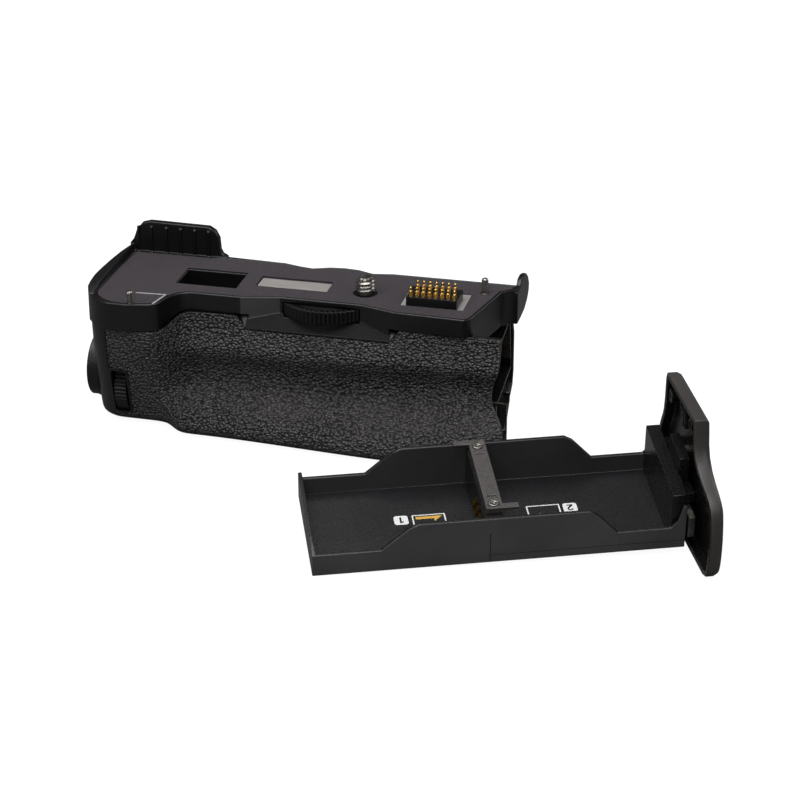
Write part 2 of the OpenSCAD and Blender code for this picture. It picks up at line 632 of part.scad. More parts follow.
module camera_screw() color([0.72, 0.71, 0.68]) {
  crest = 1.27;
  rotate_extrude() polygon(concat(
    [[0, carrier_z], [1.5, carrier_z], [1.5, wheel_top - 0.05], [neck_r, wheel_top - 0.05],
     [neck_r, plate_z + 0.3], [screw_r - 0.6, plate_z + 0.3]],
    [for (i = [0:screw_crests - 1]) each let(z = plate_z + 0.9 + crest * i)
      [[screw_r - 0.6, z - 0.5], [screw_r, z - 0.1], [screw_r, z + 0.1], [screw_r - 0.6, z + 0.5]]],
    [[screw_r - 0.6, deck_z + screw_h - 0.6], [screw_r - 1.1, deck_z + screw_h], [0, deck_z + screw_h]]));
}
// Crests of the thread that fit on the shank
screw_crests = floor((deck_z + screw_h - plate_z - 2) / 1.27) + 1;

// Gear outline: n straight-sided teeth between a root and a tip radius
function teeth(n, r_root, r_tip, w_root, w_tip, turn) = [for (i = [0:n - 1]) each
  let(a = 360 * i / n + turn,
      hr = asin(w_root / 2 / r_root), ht = asin(w_tip / 2 / r_tip))
  [[r_root * cos(a - hr), r_root * sin(a - hr)], [r_tip * cos(a - ht), r_tip * sin(a - ht)],
   [r_tip * cos(a + ht), r_tip * sin(a + ht)], [r_root * cos(a + hr), r_root * sin(a + hr)]]];

module screw_pinion() color([0.78, 0.62, 0.3]) {
  translate([0, 0, wheel_z + 0.1]) linear_extrude(wheel_h - 0.2) difference() {
    polygon(teeth(pinion_teeth, pinion_pr - 0.62, pinion_pr + 0.45, 0.95, 0.3, wheel_a + 180));
    circle(r = 1.5);
  }
}

module thumbwheel() color([0.09, 0.09, 0.095]) {
  translate([wheel_x, wheel_y, wheel_z]) difference() {
    knurl(wheel_r, 0.6, wheel_h, 72);
    translate([0, 0, -1]) linear_extrude(wheel_h + 2)
      polygon(teeth(ring_teeth, ring_pr - 0.4, ring_pr + 0.75, 1.12, 0.5, wheel_a + 180));
  }
}

module shutter_collar() color([0.13, 0.13, 0.14]) {
  difference() {
    union() {
      rod_x(left_x - collar_t, left_x, shutter_y, shutter_z, collar_r);
      rod_x(left_x - 0.1, left_x + 4, shutter_y, shutter_z, plug_r);
    }
    rod_x(left_x - 2, left_x + 3, shutter_y, shutter_z, shutter_r + 0.3);
    rod_x(left_x + 2, left_x + 5, shutter_y, shutter_z, 1.2 + run_gap);
  }
}

ring_x = left_x - collar_t - 0.05 - ring_t;
module lock_ring() color([0.1, 0.1, 0.105]) {
  difference() {
    union() {
      rod_x(ring_x, ring_x + ring_t, shutter_y, shutter_z, collar_r - 0.3);
      // Finger lug
      translate([ring_x - 0.8, shutter_y - 1, shutter_z + collar_r - 3.4]) cube([2, 2, 2.6]);
    }
    rod_x(left_x - 6, left_x, shutter_y, shutter_z, shutter_r + 1);
  }
}

module shutter_button() color([0.2, 0.2, 0.21]) {
  rod_x(ring_x + 0.2, left_x + 0.4, shutter_y, shutter_z, shutter_r);
  rod_x(left_x + 0.3, left_x + 5.4, shutter_y, shutter_z, 1.2);
}

module shutter_spring() color([0.7, 0.7, 0.72]) {
  // Three washer coils between the button and the collar
  for (i = [0:2]) {
    translate([left_x + 1.65 + 0.45 * i, shutter_y, shutter_z]) rotate([0, 90, 0]) difference() {
      cylinder(r = 3.6, h = 0.35);
      translate([0, 0, -1]) cylinder(r = 2.9, h = 3);
    }
  }
}

module shutter_switch() color([0.15, 0.15, 0.16]) {
  box([left_x + 5.4 + shutter_travel + 0.1, shutter_y - 3, base_t], [left_x + 7.8, shutter_y + 3, shutter_z + 3]);
}

// Knurled dial about X or Z with a bore
module dial_body(r) {
  difference() {
    knurl(r, 0.5, dial_t, 44);
    translate([0, 0, -1]) cylinder(r = axle_r + run_gap, h = dial_t + 2);
  }
}
module front_dial() color([0.1, 0.1, 0.105]) {
  translate([front_dial_x, front_dial_y, front_dial_z]) rotate([0, 90, 0]) dial_body(dial_r);
}
module front_dial_axle() color([0.65, 0.65, 0.66]) {
  rod_x(front_dial_x - 0.9, front_dial_x + dial_t + 0.9, front_dial_y, front_dial_z, axle_r);
  // Bracket cheeks on the base plate
  for (x = [front_dial_x - 0.9, front_dial_x + dial_t + 0.1]) {
    box([x, front_dial_y - 2, base_t], [x + 0.8, front_dial_y + 2, front_dial_z + 2]);
  }
}
module rear_dial() color([0.1, 0.1, 0.105]) {
  translate([rear_dial_x, rear_dial_y, rear_dial_z]) dial_body(rear_dial_r);
}
module rear_dial_axle() color([0.65, 0.65, 0.66]) {
  translate([rear_dial_x, rear_dial_y, rear_dial_z - 1]) cylinder(r = axle_r, h = dial_t + 2);
  // Fork fixed to the left wall
  for (z = [rear_dial_z - 1, rear_dial_z + dial_t + 0.2]) {
    box([left_x + 2, rear_dial_y - 2, z], [rear_dial_x + 2, rear_dial_y + 2, z + 0.8]);
  }
}

key_face = 32.4;
module key_cap(x) {
  rod_y(x, key_board_y + 1.8, key_face, keys_z, key_r);
}
module focus_button() color([0.12, 0.12, 0.125]) {
  key_cap(focus_x);
}
module exposure_button() color([0.12, 0.12, 0.125]) {
  key_cap(exposure_x);
}
module menu_button() color([0.12, 0.12, 0.125]) {
  key_cap(menu_x);
}
module focus_stick() color([0.1, 0.1, 0.105]) {
  rod_y(stick_x, key_board_y + 2.4, 33, keys_z, 1.4);
  rod_y(stick_x, 32.6, 34, keys_z, 2.2);
}
module stick_base() color([0.15, 0.15, 0.16]) {
  box([stick_x - 2.4, key_board_y + 1, keys_z - 1.8], [stick_x + 2.4, key_board_y + 2.2, keys_z + 1.4]);
}
module mode_switch() color([0.12, 0.12, 0.125]) {
  box([switch_x - 3.4, key_board_y + 1.1, keys_z - 1], [switch_x + 0.6, 31.4, keys_z + 1]);
  box([switch_x - 2, 31.3, keys_z - 0.9], [switch_x - 0.8, 32.2, keys_z + 0.9]);
}
module lamp_windows() color([0.6, 0.9, 0.6]) {
  for (x = [lamp_x, lamp_x + 4]) {
    rod_y(x, key_board_y + 1, 31, keys_z, 1);
  }
}
module power_socket() color([0.05, 0.05, 0.055]) {
  difference() {
    rod_y(power_x, board[1][1], 29.5, power_z, 3.1);
    rod_y(power_x, board[1][1] + 1.2, 30, power_z, 2.4);
  }
  rod_y(power_x, board[1][1] + 0.5, 28.5, power_z, 0.6);
}
module socket_flap() color([0.08, 0.08, 0.085]) {
  box([power_x - 5, 29.7, power_z - 2.4], [power_x + 5, 31, power_z + 4.2]);
  rod_x(power_x - 5, power_x + 5, 30.4, power_z - 2.6, 0.7);
}

module tripod_bush() color([0.68, 0.68, 0.66]) {
  difference() {
    union() {
      cylinder(r = socket_r + 1.75, h = base_t + 2.2);
    }
    translate([0, 0, -1]) cylinder(r = socket_r, h = 20);
  }
}

module case_screws() color([0.3, 0.3, 0.31]) {
  for (p = base_screws) {
    translate([p[0], p[1], 0.2]) cylinder(r = 1.8, h = 0.8);
    translate([p[0], p[1], 0.2]) cylinder(r = 0.85, h = base_t + 2.4);
  }
}

// Side of the tray: low ends, ramps and a high middle, then up beside the bulkhead
side_x = bulk_x + 4.3;
function tray_side(top) = [[0, 0], [side_x, 0], [side_x, top], [side_x - 1, top], [side_x - 2.4, tray_low + 2.4],
  [side_x - 4.6, tray_low], [side_x - 20.8, tray_low], [side_x - 27, tray_high - 1.5], [side_x - 29.6, tray_high],
  [31.5, tray_high], [28.6, tray_high - 1.4], [20.5, tray_low], [0, tray_low]];

module tray_channel() color([0.05, 0.05, 0.055]) drawn_out() in_bay() {
  box([0, 0, 0], [side_x, tray_w, floor_t]);
  for (y = [0, tray_w - tray_t]) {
    translate([0, y + tray_t, 0]) rotate([90, 0, 0]) linear_extrude(tray_t) polygon(tray_side(y > 0 ? 12 : 15));
  }
  difference() {
    translate([0, 0, 0]) rotate([90, 0, 90]) linear_extrude(end_t)
      polygon([[0, 0], [tray_w, 0], [tray_w, tray_low + 1.8], [9, tray_low + 1.8], [0, tray_low]]);
    for (y = contact_ys) {
      box([-1, y - 1, 3.4], [0.5, y + 1, 8]);
    }
  }
}

module contact_bridge() color([0.04, 0.04, 0.045]) drawn_out() in_bay() {
  difference() {
    box([bridge_x, tray_t + 0.05, floor_t], [bridge_x + bridge_w, tray_w - tray_t - 0.05, tray_high - 1.2]);
    for (y = battery_ys) {
      box([bridge_x - 1, y - 1, 4], [bridge_x + 0.9, y + 1, 11.5]);
      box([bridge_x + bridge_w - 0.9, y - 1, 4], [bridge_x + bridge_w + 1, y + 1, 11.5]);
    }
    for (y = bar_screws) {
      translate([bar_x + 2.5, y, tray_high - 6]) cylinder(r = 0.8, h = 10);
    }
  }
}
battery_ys = [7, 11, 15, 19];

module bridge_bar() color([0.42, 0.4, 0.38]) drawn_out() in_bay() {
  difference() {
    union() {
      box([bar_x, bar_y, tray_high], [bar_x + 5.1, tray_w, tray_high + 0.6]);
      box([bar_x, bar_y, tray_high - 1.2], [bar_x + 4.6, tray_w - tray_t - 0.05, tray_high + 0.1]);
      box([bar_x - 4.6, tray_w - 2.2, tray_high], [bar_x + 0.5, tray_w, tray_high + 0.6]);
      box([bar_x + 5, bar_y, tray_high - 0.2], [bar_x + 9.8, bar_y + 2.4, tray_high + 0.6]);
    }
    for (y = bar_screws) {
      translate([bar_x + 2.5, y, tray_high - 2]) cylinder(r = 0.8, h = 10);
      translate([bar_x + 2.5, y, tray_high + 0.1]) cylinder(r = 1.7, h = 10);
    }
    for (y = [bar_screws[0] + 3.6, bar_screws[1] - 4.4]) {
      box([bar_x + 1.2, y - 0.5, tray_high + 0.2], [bar_x + 3.9, y + 0.5, tray_high + 3]);
    }
  }
}
bar_x = bridge_x + 0.7;
bar_y = 4.6;
bar_screws = [bar_y + 2.6, tray_w - 3.4];

module bridge_screws() color([0.6, 0.6, 0.6]) drawn_out() in_bay() {
  for (y = bar_screws) {
    translate([bar_x + 2.5, y, tray_high - 5.5]) cylinder(r = 0.75, h = 5.8);
    difference() {
      translate([bar_x + 2.5, y, tray_high + 0.1]) cylinder(r = 1.6, h = 0.8);
      translate([bar_x + 2.5, y, tray_high + 0.8]) cube([2.2, 0.4, 0.8], center = true);
      translate([bar_x + 2.5, y, tray_high + 0.8]) cube([0.4, 2.2, 0.8], center = true);
    }
  }
}

module battery_contacts() color([0.86, 0.66, 0.25]) drawn_out() in_bay() {
  for (y = battery_ys) {
    for (s = [0, 1]) {
      translate([bridge_x + bridge_w / 2, y, 0]) mirror([s, 0, 0]) {
        box([bridge_w / 2 - 0.9, -0.9, 4.05], [bridge_w / 2 - 0.6, 0.9, 11.45]);
        translate([bridge_w / 2 - 0.65, 0.9, 7.6]) rotate([90, 0, 0]) linear_extrude(1.8)
          polygon([[0, -3], [1.9, 0], [0, 3]]);
      }
    }
  }
}

module tray_terminals() color([0.86, 0.66, 0.25]) drawn_out() in_bay() {
  for (y = contact_ys) {
    box([0.1, y - 0.95, 3.45], [0.5, y + 0.95, 7.95]);
  }
}

module bulkhead() color([0.06, 0.06, 0.065]) drawn_out() in_bay() {
  difference() {
    union() {
      box([bulk_x + 0.05, tray_t + 0.05, floor_t], [side_x, tray_w - tray_t - 0.05, tray_high + 2.4]);
      // Box that carries the latch, screwed to the door
      box([side_x - 0.1, 6, 2], [rim_x + lower_box, tray_w - 4, tray_high - 0.6]);
      box([side_x - 0.1, 12, tray_high - 1], [rim_x + upper_box, 26, tray_high + 8]);
    }
    // Space of the bolt and the crank
    box([side_x, -1, 4.1], [rim_x + 3, 27, 12]);
  }
}

// Door outline in Y and Z as it stands on the grip, in levels from the underside up: the
// front edge with its swell and neck, then the rear edge
door_low = base_t + 0.2;
door_top = deck_z + 0.3;
door_d = 5;
function door_z(z) = door_low + (door_top - door_low) * (z - 2.2) / 44.1;
door_front = [[-22, 2.2], [-24.8, 2.9], [-26.6, 4.4], [-27.6, 6.8], [-28.4, 10], [-28.9, 13], [-29.2, 16],
  [-29.2, 19], [-29, 22], [-28.6, 24.5], [-27.6, 26.5], [-25.4, 28.2], [-22, 29.6], [-18, 31], [-14, 32.8],
  [-11.2, 35.2], [-10, 38], [-9.6, 42], [-9, 46.3]];
door_rear = [[29.4, 2.2], [31, 2.9], [32.8, 4.4], [34.2, 6.8], [35.2, 10], [35.4, 13], [35.4, 16], [35.4, 19],
  [35.4, 22], [35, 24], [33.4, 27], [32, 29], [30.6, 31], [29.6, 33], [28.8, 36], [28.4, 38], [28, 41], [27.6, 44],
  [26.4, 46.3]];
door_ring = concat([for (p = door_rear) [p[0], door_z(p[1])]],
  [for (i = [len(door_front) - 1:-1:0]) [door_front[i][0], door_z(door_front[i][1])]]);
// The rim leans out a little towards the front
function rim_lean(y) = max(0, -0.042 * (y + 12));
// Solid between rings, each with its X, its inset and how far it follows the lean
module door_block(x0, rings) {
  n = len(door_front);
  m = 2 * n;
  k = len(rings);
  pts = [for (r = rings) each [for (p = inset(door_ring, r[1])) [x0 + r[0] + r[2] * rim_lean(p[0]), p[0], p[1]]]];
  sides = [for (j = [0:k - 2]) for (i = [0:m - 1]) each
    let(a = j * m + i, b = j * m + (i + 1) % m) [[a, b + m, b], [a, a + m, b + m]]];
  first = [for (i = [0:n - 2]) each
    let(a = i, b = m - 1 - i) [[a, a + 1, b - 1], [a, b - 1, b]]];
  last = [for (i = [0:n - 2]) each
    let(a = (k - 1) * m + i, b = (k - 1) * m + m - 1 - i) [[a, b - 1, a + 1], [a, b, b - 1]]];
  polyhedron(points = pts, faces = concat(sides, first, last));
}
module door_shell() color([0.08, 0.08, 0.085]) drawn_out() {
  difference() {
    union() {
      difference() {
        door_block(right_x + 0.1, [[0, 0, 1], [door_d - 1.9, 0, 0], [door_d - 0.7, 0.6, 0], [door_d, 1.7, 0]]);
        door_block(right_x + 0.1, [[-3, wall, 0], [door_d - wall, wall, 0]]);
      }
      // Posts that take the screws of the bulkhead
      for (p = door_posts) {
        in_bay() rod_x(rim_x + p[2], rim_x + door_d - wall + 0.2, p[0], p[1], 2);
      }
    }
    for (p = door_posts) {
      in_bay() rod_x(rim_x - 1, rim_x + 3, p[0], p[1], 0.8);
    }
    // Shaft of the knob
    in_bay() rod_x(100, 140, knob_y, knob_z, 1.6 + run_gap);
  }
}
// Posts in the door: Y and Z in the tray's axes, and where the bulkhead's box ends there
lower_box = 2.2;
upper_box = 1.4;
door_posts = [[32.5, 6, lower_box], [32.5, 12.5, lower_box], [21, tray_high + 4.4, upper_box]];
knob_y = 16;
knob_z = 7.4;

module door_screws() color([0.55, 0.55, 0.56]) drawn_out() in_bay() {
  for (p = door_posts) {
    rod_x(rim_x + p[2], rim_x + 2.9, p[0], p[1], 0.75);
  }
}

module latch_knob() color([0.1, 0.1, 0.105]) drawn_out() in_bay() {
  x = rim_x + door_d;
  rod_x(x + 0.3, x + 1.3, knob_y, knob_z, 6.5);
  box([x + 1.2, knob_y - 5.6, knob_z - 1.1], [x + 3.4, knob_y + 5.6, knob_z + 1.1]);
  rod_x(rim_x + 2.4, x + 0.4, knob_y, knob_z, 1.6);
}

crank_r = 2;
crank_a = 135;
module latch_crank() color([0.7, 0.69, 0.66]) drawn_out() in_bay() {
  rod_x(rim_x + 1.2, rim_x + 2.4, knob_y, knob_z, 3.2);
  rod_x(rim_x - 0.8, rim_x + 1.3, knob_y + crank_r * cos(crank_a), knob_z + crank_r * sin(crank_a), 0.7);
}

module latch_bolt() color([0.75, 0.74, 0.7]) drawn_out() in_bay() {
  pin_y = knob_y + crank_r * cos(crank_a);
  difference() {
    box([rim_x - 1.1, -1.2, 4.6], [rim_x + 0.8, 23, 11.6]);
    box([rim_x - 3, pin_y - 1.05, knob_z + 0.1], [rim_x + 3, pin_y + 1.05, knob_z + 3.2]);
  }
}

top_frame();
mating_pad();
label_plate();
front_shell();
grip_cover();
rear_case();
base_plate();
bay_liner();
bay_contacts();
contact_springs();
latch_keeper();
bay_leaf();
main_board();
key_board();
connector_seat();
connector_block();
connector_pins();
locating_pin_left();
locating_pin_right();
wheel_carrier();
camera_screw();
screw_pinion();
thumbwheel();
shutter_collar();
lock_ring();
shutter_button();
shutter_spring();
shutter_switch();
front_dial();
front_dial_axle();
rear_dial();
rear_dial_axle();
focus_button();
exposure_button();
menu_button();
focus_stick();
stick_base();
mode_switch();
lamp_windows();
power_socket();
socket_flap();
tripod_bush();
case_screws();
tray_channel();
contact_bridge();
bridge_bar();
bridge_screws();
battery_contacts();
tray_terminals();
bulkhead();
door_shell();
door_screws();
latch_knob();
latch_crank();
latch_bolt();
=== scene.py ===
import json
import math
import bmesh
import bpy
from mathutils import Matrix, Vector


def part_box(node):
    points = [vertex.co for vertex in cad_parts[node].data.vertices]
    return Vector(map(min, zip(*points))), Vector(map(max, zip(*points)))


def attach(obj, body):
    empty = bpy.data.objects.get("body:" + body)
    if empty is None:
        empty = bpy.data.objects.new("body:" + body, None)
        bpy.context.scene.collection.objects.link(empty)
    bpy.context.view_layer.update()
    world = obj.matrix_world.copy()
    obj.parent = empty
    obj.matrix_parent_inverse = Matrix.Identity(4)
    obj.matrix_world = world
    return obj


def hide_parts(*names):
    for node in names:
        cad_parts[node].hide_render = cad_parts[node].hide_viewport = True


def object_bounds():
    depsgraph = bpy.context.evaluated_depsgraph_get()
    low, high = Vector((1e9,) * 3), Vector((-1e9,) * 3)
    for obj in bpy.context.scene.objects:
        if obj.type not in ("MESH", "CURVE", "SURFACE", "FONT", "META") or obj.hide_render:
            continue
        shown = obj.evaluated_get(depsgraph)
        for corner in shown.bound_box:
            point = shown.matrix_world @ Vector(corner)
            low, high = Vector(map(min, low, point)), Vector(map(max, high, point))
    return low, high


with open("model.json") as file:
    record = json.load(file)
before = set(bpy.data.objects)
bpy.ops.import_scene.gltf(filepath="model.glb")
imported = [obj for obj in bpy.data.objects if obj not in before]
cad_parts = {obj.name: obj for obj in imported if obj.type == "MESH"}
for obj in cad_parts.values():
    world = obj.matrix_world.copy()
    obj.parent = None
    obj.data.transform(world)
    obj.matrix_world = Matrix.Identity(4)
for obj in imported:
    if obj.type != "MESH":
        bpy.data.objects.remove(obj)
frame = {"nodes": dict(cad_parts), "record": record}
cad_box = [list(corner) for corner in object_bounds()]
mm = 0.001


# Outer cases of the grip: top frame, rear case and base plate.
# Injection-moulded black plastic with a fine satin grain and softly rounded edges,
# screwed together from below.

bodies = frame["record"]["behaviour"]["bodies"]
body_of_node = {node: body for body, held in bodies.items() for node in held}
slot_of_node = {part["node"]: part["material_slot"] for part in frame["record"]["subparts"]}


def wire(tree, source, target):
    tree.links.new(source, target)


def noise(tree, vector, scale, detail, roughness=0.5):
    node = tree.nodes.new("ShaderNodeTexNoise")
    node.inputs["Scale"].default_value = scale
    node.inputs["Detail"].default_value = detail
    node.inputs["Roughness"].default_value = roughness
    wire(tree, vector, node.inputs["Vector"])
    return node.outputs["Fac"]


def spread(tree, value, low, high, to_low, to_high):
    node = tree.nodes.new("ShaderNodeMapRange")
    node.interpolation_type = "SMOOTHSTEP"
    node.inputs["From Min"].default_value = low
    node.inputs["From Max"].default_value = high
    node.inputs["To Min"].default_value = to_low
    node.inputs["To Max"].default_value = to_high
    wire(tree, value, node.inputs["Value"])
    return node.outputs["Result"]


def arithmetic(tree, operation, first, second):
    node = tree.nodes.new("ShaderNodeMath")
    node.operation = operation
    for socket, value in zip(node.inputs, (first, second)):
        if isinstance(value, (int, float)):
            socket.default_value = value
        else:
            wire(tree, value, socket)
    return node.outputs["Value"]


def mingle(tree, factor, first, second):
    node = tree.nodes.new("ShaderNodeMix")
    node.data_type = "RGBA"
    wire(tree, factor, node.inputs["Factor"])
    for socket, colour in ((node.inputs["A"], first), (node.inputs["B"], second)):
        if isinstance(colour, tuple):
            socket.default_value = (*colour, 1)
        else:
            wire(tree, colour, socket)
    return node.outputs["Result"]


def paint(tree, shader, factor, first, second):
    wire(tree, mingle(tree, factor, first, second), shader.inputs["Base Color"])


def polish(tree, shader, value, to_low, to_high, low=0.3, high=0.7):
    wire(tree, spread(tree, value, low, high, to_low, to_high), shader.inputs["Roughness"])


def raise_surface(tree, shader, height, distance):
    node = tree.nodes.new("ShaderNodeBump")
    node.inputs["Distance"].default_value = distance
    node.inputs["Strength"].default_value = 1
    wire(tree, height, node.inputs["Height"])
    wire(tree, node.outputs["Normal"], shader.inputs["Normal"])


def new_finish(name):
    material = bpy.data.materials.new(name)
    material.use_nodes = True
    tree = material.node_tree
    shader = tree.nodes["Principled BSDF"]
    place = tree.nodes.new("ShaderNodeTexCoord")
    return material, tree, shader, place.outputs["Object"]


# The grain of a spark-eroded mould: a fine height, and a slow change of shade over the face
grain_group = bpy.data.node_groups.new("mould_grain", "ShaderNodeTree")
grain_group.interface.new_socket("Vector", in_out="INPUT", socket_type="NodeSocketVector")
grain_group.interface.new_socket("Grains per metre", in_out="INPUT", socket_type="NodeSocketFloat")
grain_group.interface.new_socket("Height", in_out="OUTPUT", socket_type="NodeSocketFloat")
grain_group.interface.new_socket("Shade", in_out="OUTPUT", socket_type="NodeSocketFloat")
grain_in = grain_group.nodes.new("NodeGroupInput")
grain_out = grain_group.nodes.new("NodeGroupOutput")
pits = grain_group.nodes.new("ShaderNodeTexNoise")
pits.inputs["Detail"].default_value = 2
wire(grain_group, grain_in.outputs["Vector"], pits.inputs["Vector"])
wire(grain_group, grain_in.outputs["Grains per metre"], pits.inputs["Scale"])
wire(grain_group, spread(grain_group, pits.outputs["Fac"], 0.3, 0.7, 0, 1), grain_out.inputs["Height"])
cloud = noise(grain_group, grain_in.outputs["Vector"], 45, 3)
wire(grain_group, spread(grain_group, cloud, 0.3, 0.7, 0, 1), grain_out.inputs["Shade"])

# A few pale specks of dust that settle on everything that is handled
dust_group = bpy.data.node_groups.new("dust_specks", "ShaderNodeTree")
dust_group.interface.new_socket("Vector", in_out="INPUT", socket_type="NodeSocketVector")
dust_group.interface.new_socket("Speck", in_out="OUTPUT", socket_type="NodeSocketFloat")
dust_in = dust_group.nodes.new("NodeGroupInput")
dust_out = dust_group.nodes.new("NodeGroupOutput")
specks = dust_group.nodes.new("ShaderNodeTexVoronoi")
specks.inputs["Scale"].default_value = 420
wire(dust_group, dust_in.outputs["Vector"], specks.inputs["Vector"])
near = spread(dust_group, specks.outputs["Distance"], 0.02, 0.075, 1, 0)
few = spread(dust_group, noise(dust_group, dust_in.outputs["Vector"], 90, 2), 0.56, 0.66, 0, 1)
wire(dust_group, arithmetic(dust_group, "MULTIPLY", near, few), dust_out.inputs["Speck"])


def use_group(tree, group, vector):
    node = tree.nodes.new("ShaderNodeGroup")
    node.node_tree = group
    wire(tree, vector, node.inputs["Vector"])
    return node


def plastic(name, dark, light, gloss, grains, depth, shine=0.5, dust=0.25):
    material, tree, shader, place = new_finish(name)
    shader.inputs["Specular IOR Level"].default_value = shine
    grain = use_group(tree, grain_group, place)
    grain.inputs["Grains per metre"].default_value = grains
    colour = mingle(tree, grain.outputs["Shade"], dark, light)
    speck = use_group(tree, dust_group, place).outputs["Speck"]
    pale = tuple(min(1, channel + 0.08) for channel in light)
    paint(tree, shader, arithmetic(tree, "MULTIPLY", speck, dust), colour, pale)
    polish(tree, shader, grain.outputs["Height"], gloss, gloss + 0.1, 0, 1)
    raise_surface(tree, shader, grain.outputs["Height"], depth)
    return material


crisp_angle = math.radians(44)


def turn_out(name, bm, finish, body, slot, *stands_for):
    # Makes the finished mesh an object that rides on its body
    mesh = bpy.data.meshes.new(name)
    for edge in bm.edges:
        edge.smooth = len(edge.link_faces) != 2 or edge.calc_face_angle(0) < crisp_angle
    for face in bm.faces:
        face.smooth = True
    bm.to_mesh(mesh)
    bm.free()
    mesh.materials.append(finish)
    piece = bpy.data.objects.new(name, mesh)
    bpy.context.scene.collection.objects.link(piece)
    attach(piece, body)
    if stands_for:
        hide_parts(*stands_for)
    return piece


def merged_copy(node):
    bm = bmesh.new()
    bm.from_mesh(frame["nodes"][node].data)
    bmesh.ops.remove_doubles(bm, verts=bm.verts, dist=2e-6)
    return bm


def round_edges(bm, lines, edge, steps=2):
    bmesh.ops.bevel(bm, geom=lines, offset=edge, offset_type="OFFSET", affect="EDGES", segments=steps,
        profile=0.5, material=-1, clamp_overlap=False)


def rounded(node, finish, edge, steps=2, sharp=32):
    # The solid's own shape with its hard edges rounded as a mould or a cutter leaves them
    bm = merged_copy(node)
    shortest = 1.6 * edge
    hard = []
    for line in bm.edges:
        if len(line.link_faces) == 2 and line.calc_face_angle(0) > math.radians(sharp):
            if line.calc_length() > shortest:
                hard.append(line)
    if hard:
        round_edges(bm, hard, edge, steps)
    # Where edges are closer than the rounding, points are kept in the solid's own box
    low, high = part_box(node)
    for point in bm.verts:
        point.co = Vector(min(max(point.co[axis], low[axis]), high[axis]) for axis in range(3))
    piece = turn_out(node + ".look", bm, finish, body_of_node[node], slot_of_node[node], node)
    flats = piece.modifiers.new("flats", "WEIGHTED_NORMAL")
    flats.keep_sharp = True
    return piece


def coat_faces(piece, finish, chosen):
    # Gives the faces that chosen(centre, normal) picks one more finish
    piece.data.materials.append(finish)
    for face in piece.data.polygons:
        if chosen(face.center, face.normal):
            face.material_index = len(piece.data.materials) - 1


case_grains = 3200
case_depth = 0.00002
case_finish = plastic("satin_case", (0.0028, 0.0026, 0.0025), (0.0045, 0.0041, 0.004), 0.28, case_grains,
    case_depth, 0.45)
top_frame = rounded("top_frame", case_finish, 0.4 * mm, 3, 44)
rounded("rear_case", case_finish, 0.3 * mm)
rounded("base_plate", case_finish, 0.3 * mm)

# The facet of the band left of the wheel is painted paler than the rest of the frame: a painted highlight
# where that facet catches the light
facet_highlight_finish = plastic("facet_painted_highlight", (0.03, 0.0295, 0.029), (0.04, 0.0393, 0.0386), 0.4, case_grains,
    case_depth, 0.5)
facet_left = -39 * mm
facet_right = -24 * mm
facet_low = 38 * mm


def beside_wheel(centre, normal):
    turned_right = normal.y < -0.8 and normal.x > 0.1
    return turned_right and facet_left < centre.x < facet_right and centre.z > facet_low


coat_faces(top_frame, facet_highlight_finish, beside_wheel)

# The slope under the wheel gets a duller, darker and browner copy of the case finish: painted shade on the
# slope
slope_shade_finish = plastic("slope_painted_shade", (0.0028, 0.0025, 0.0022), (0.0045, 0.004, 0.0036), 0.55, case_grains,
    case_depth, 0.15)
slope_left = -37 * mm
slope_right = 12 * mm
slope_high = 41.5 * mm


def under_wheel(centre, normal):
    sloping = normal.y < -0.4 and normal.z > 0.4
    return sloping and slope_left < centre.x < slope_right and centre.z < slope_high


coat_faces(top_frame, slope_shade_finish, under_wheel)


# Cover of the hand swell and the shell under it.
# A pebbled leather-look rubber skin glued over a moulded shell; both follow one smooth surface.


def smooth_skin(node, finish, levels):
    bm = merged_copy(node)
    bmesh.ops.triangulate(bm, faces=bm.faces)
    bmesh.ops.join_triangles(bm, faces=bm.faces, angle_face_threshold=math.radians(25),
        angle_shape_threshold=math.radians(50))
    crease = bm.edges.layers.float.new("crease_edge")
    for line in bm.edges:
        if len(line.link_faces) == 2 and line.calc_face_angle(0) > math.radians(40):
            line[crease] = 0.9
    piece = turn_out(node + ".look", bm, finish, body_of_node[node], slot_of_node[node], node)
    finer = piece.modifiers.new("finer", "SUBSURF")
    finer.levels = levels
    finer.render_levels = levels


def stretch(tree, vector, scale, turn=(0, 0, 0)):
    node = tree.nodes.new("ShaderNodeMapping")
    node.inputs["Scale"].default_value = scale
    node.inputs["Rotation"].default_value = turn
    wire(tree, vector, node.inputs["Vector"])
    return node.outputs["Vector"]


cover_finish, tree, shader, place = new_finish("pebbled_cover")
pebbles_per_metre = (880, 1060, 1240)
pebble_tilt = (0, 0.3, 0)
pebble_shift = 0.0008
wander = tree.nodes.new("ShaderNodeTexNoise")
wander.inputs["Scale"].default_value = 480
wander.inputs["Detail"].default_value = 2
wire(tree, place, wander.inputs["Vector"])
shifted = tree.nodes.new("ShaderNodeVectorMath")
shifted.operation = "MULTIPLY_ADD"
shifted.inputs[1].default_value = (pebble_shift, pebble_shift, pebble_shift)
wire(tree, wander.outputs["Color"], shifted.inputs[0])
wire(tree, place, shifted.inputs[2])
pebbles = tree.nodes.new("ShaderNodeTexVoronoi")
pebbles.inputs["Scale"].default_value = 1
pebble_field = stretch(tree, shifted.outputs["Vector"], pebbles_per_metre, pebble_tilt)
wire(tree, pebble_field, pebbles.inputs["Vector"])
pebble_top = arithmetic(tree, "SUBTRACT", 1, arithmetic(tree, "POWER", pebbles.outputs["Distance"], 1.6))
wrinkle = noise(tree, shifted.outputs["Vector"], 2600, 3)
relief = arithmetic(tree, "ADD", pebble_top, arithmetic(tree, "MULTIPLY", wrinkle, 0.2))
tone = noise(tree, place, 60, 3)
top_share = spread(tree, pebble_top, 0.45, 0.95, 0, 1)
# The colour follows the pebble height: painted shade in the creases between the pebbles and paler pebble tops
# as painted light
pebble_shaded_colour = mingle(tree, top_share, (0.007, 0.0063, 0.0066), (0.047, 0.0428, 0.0448))
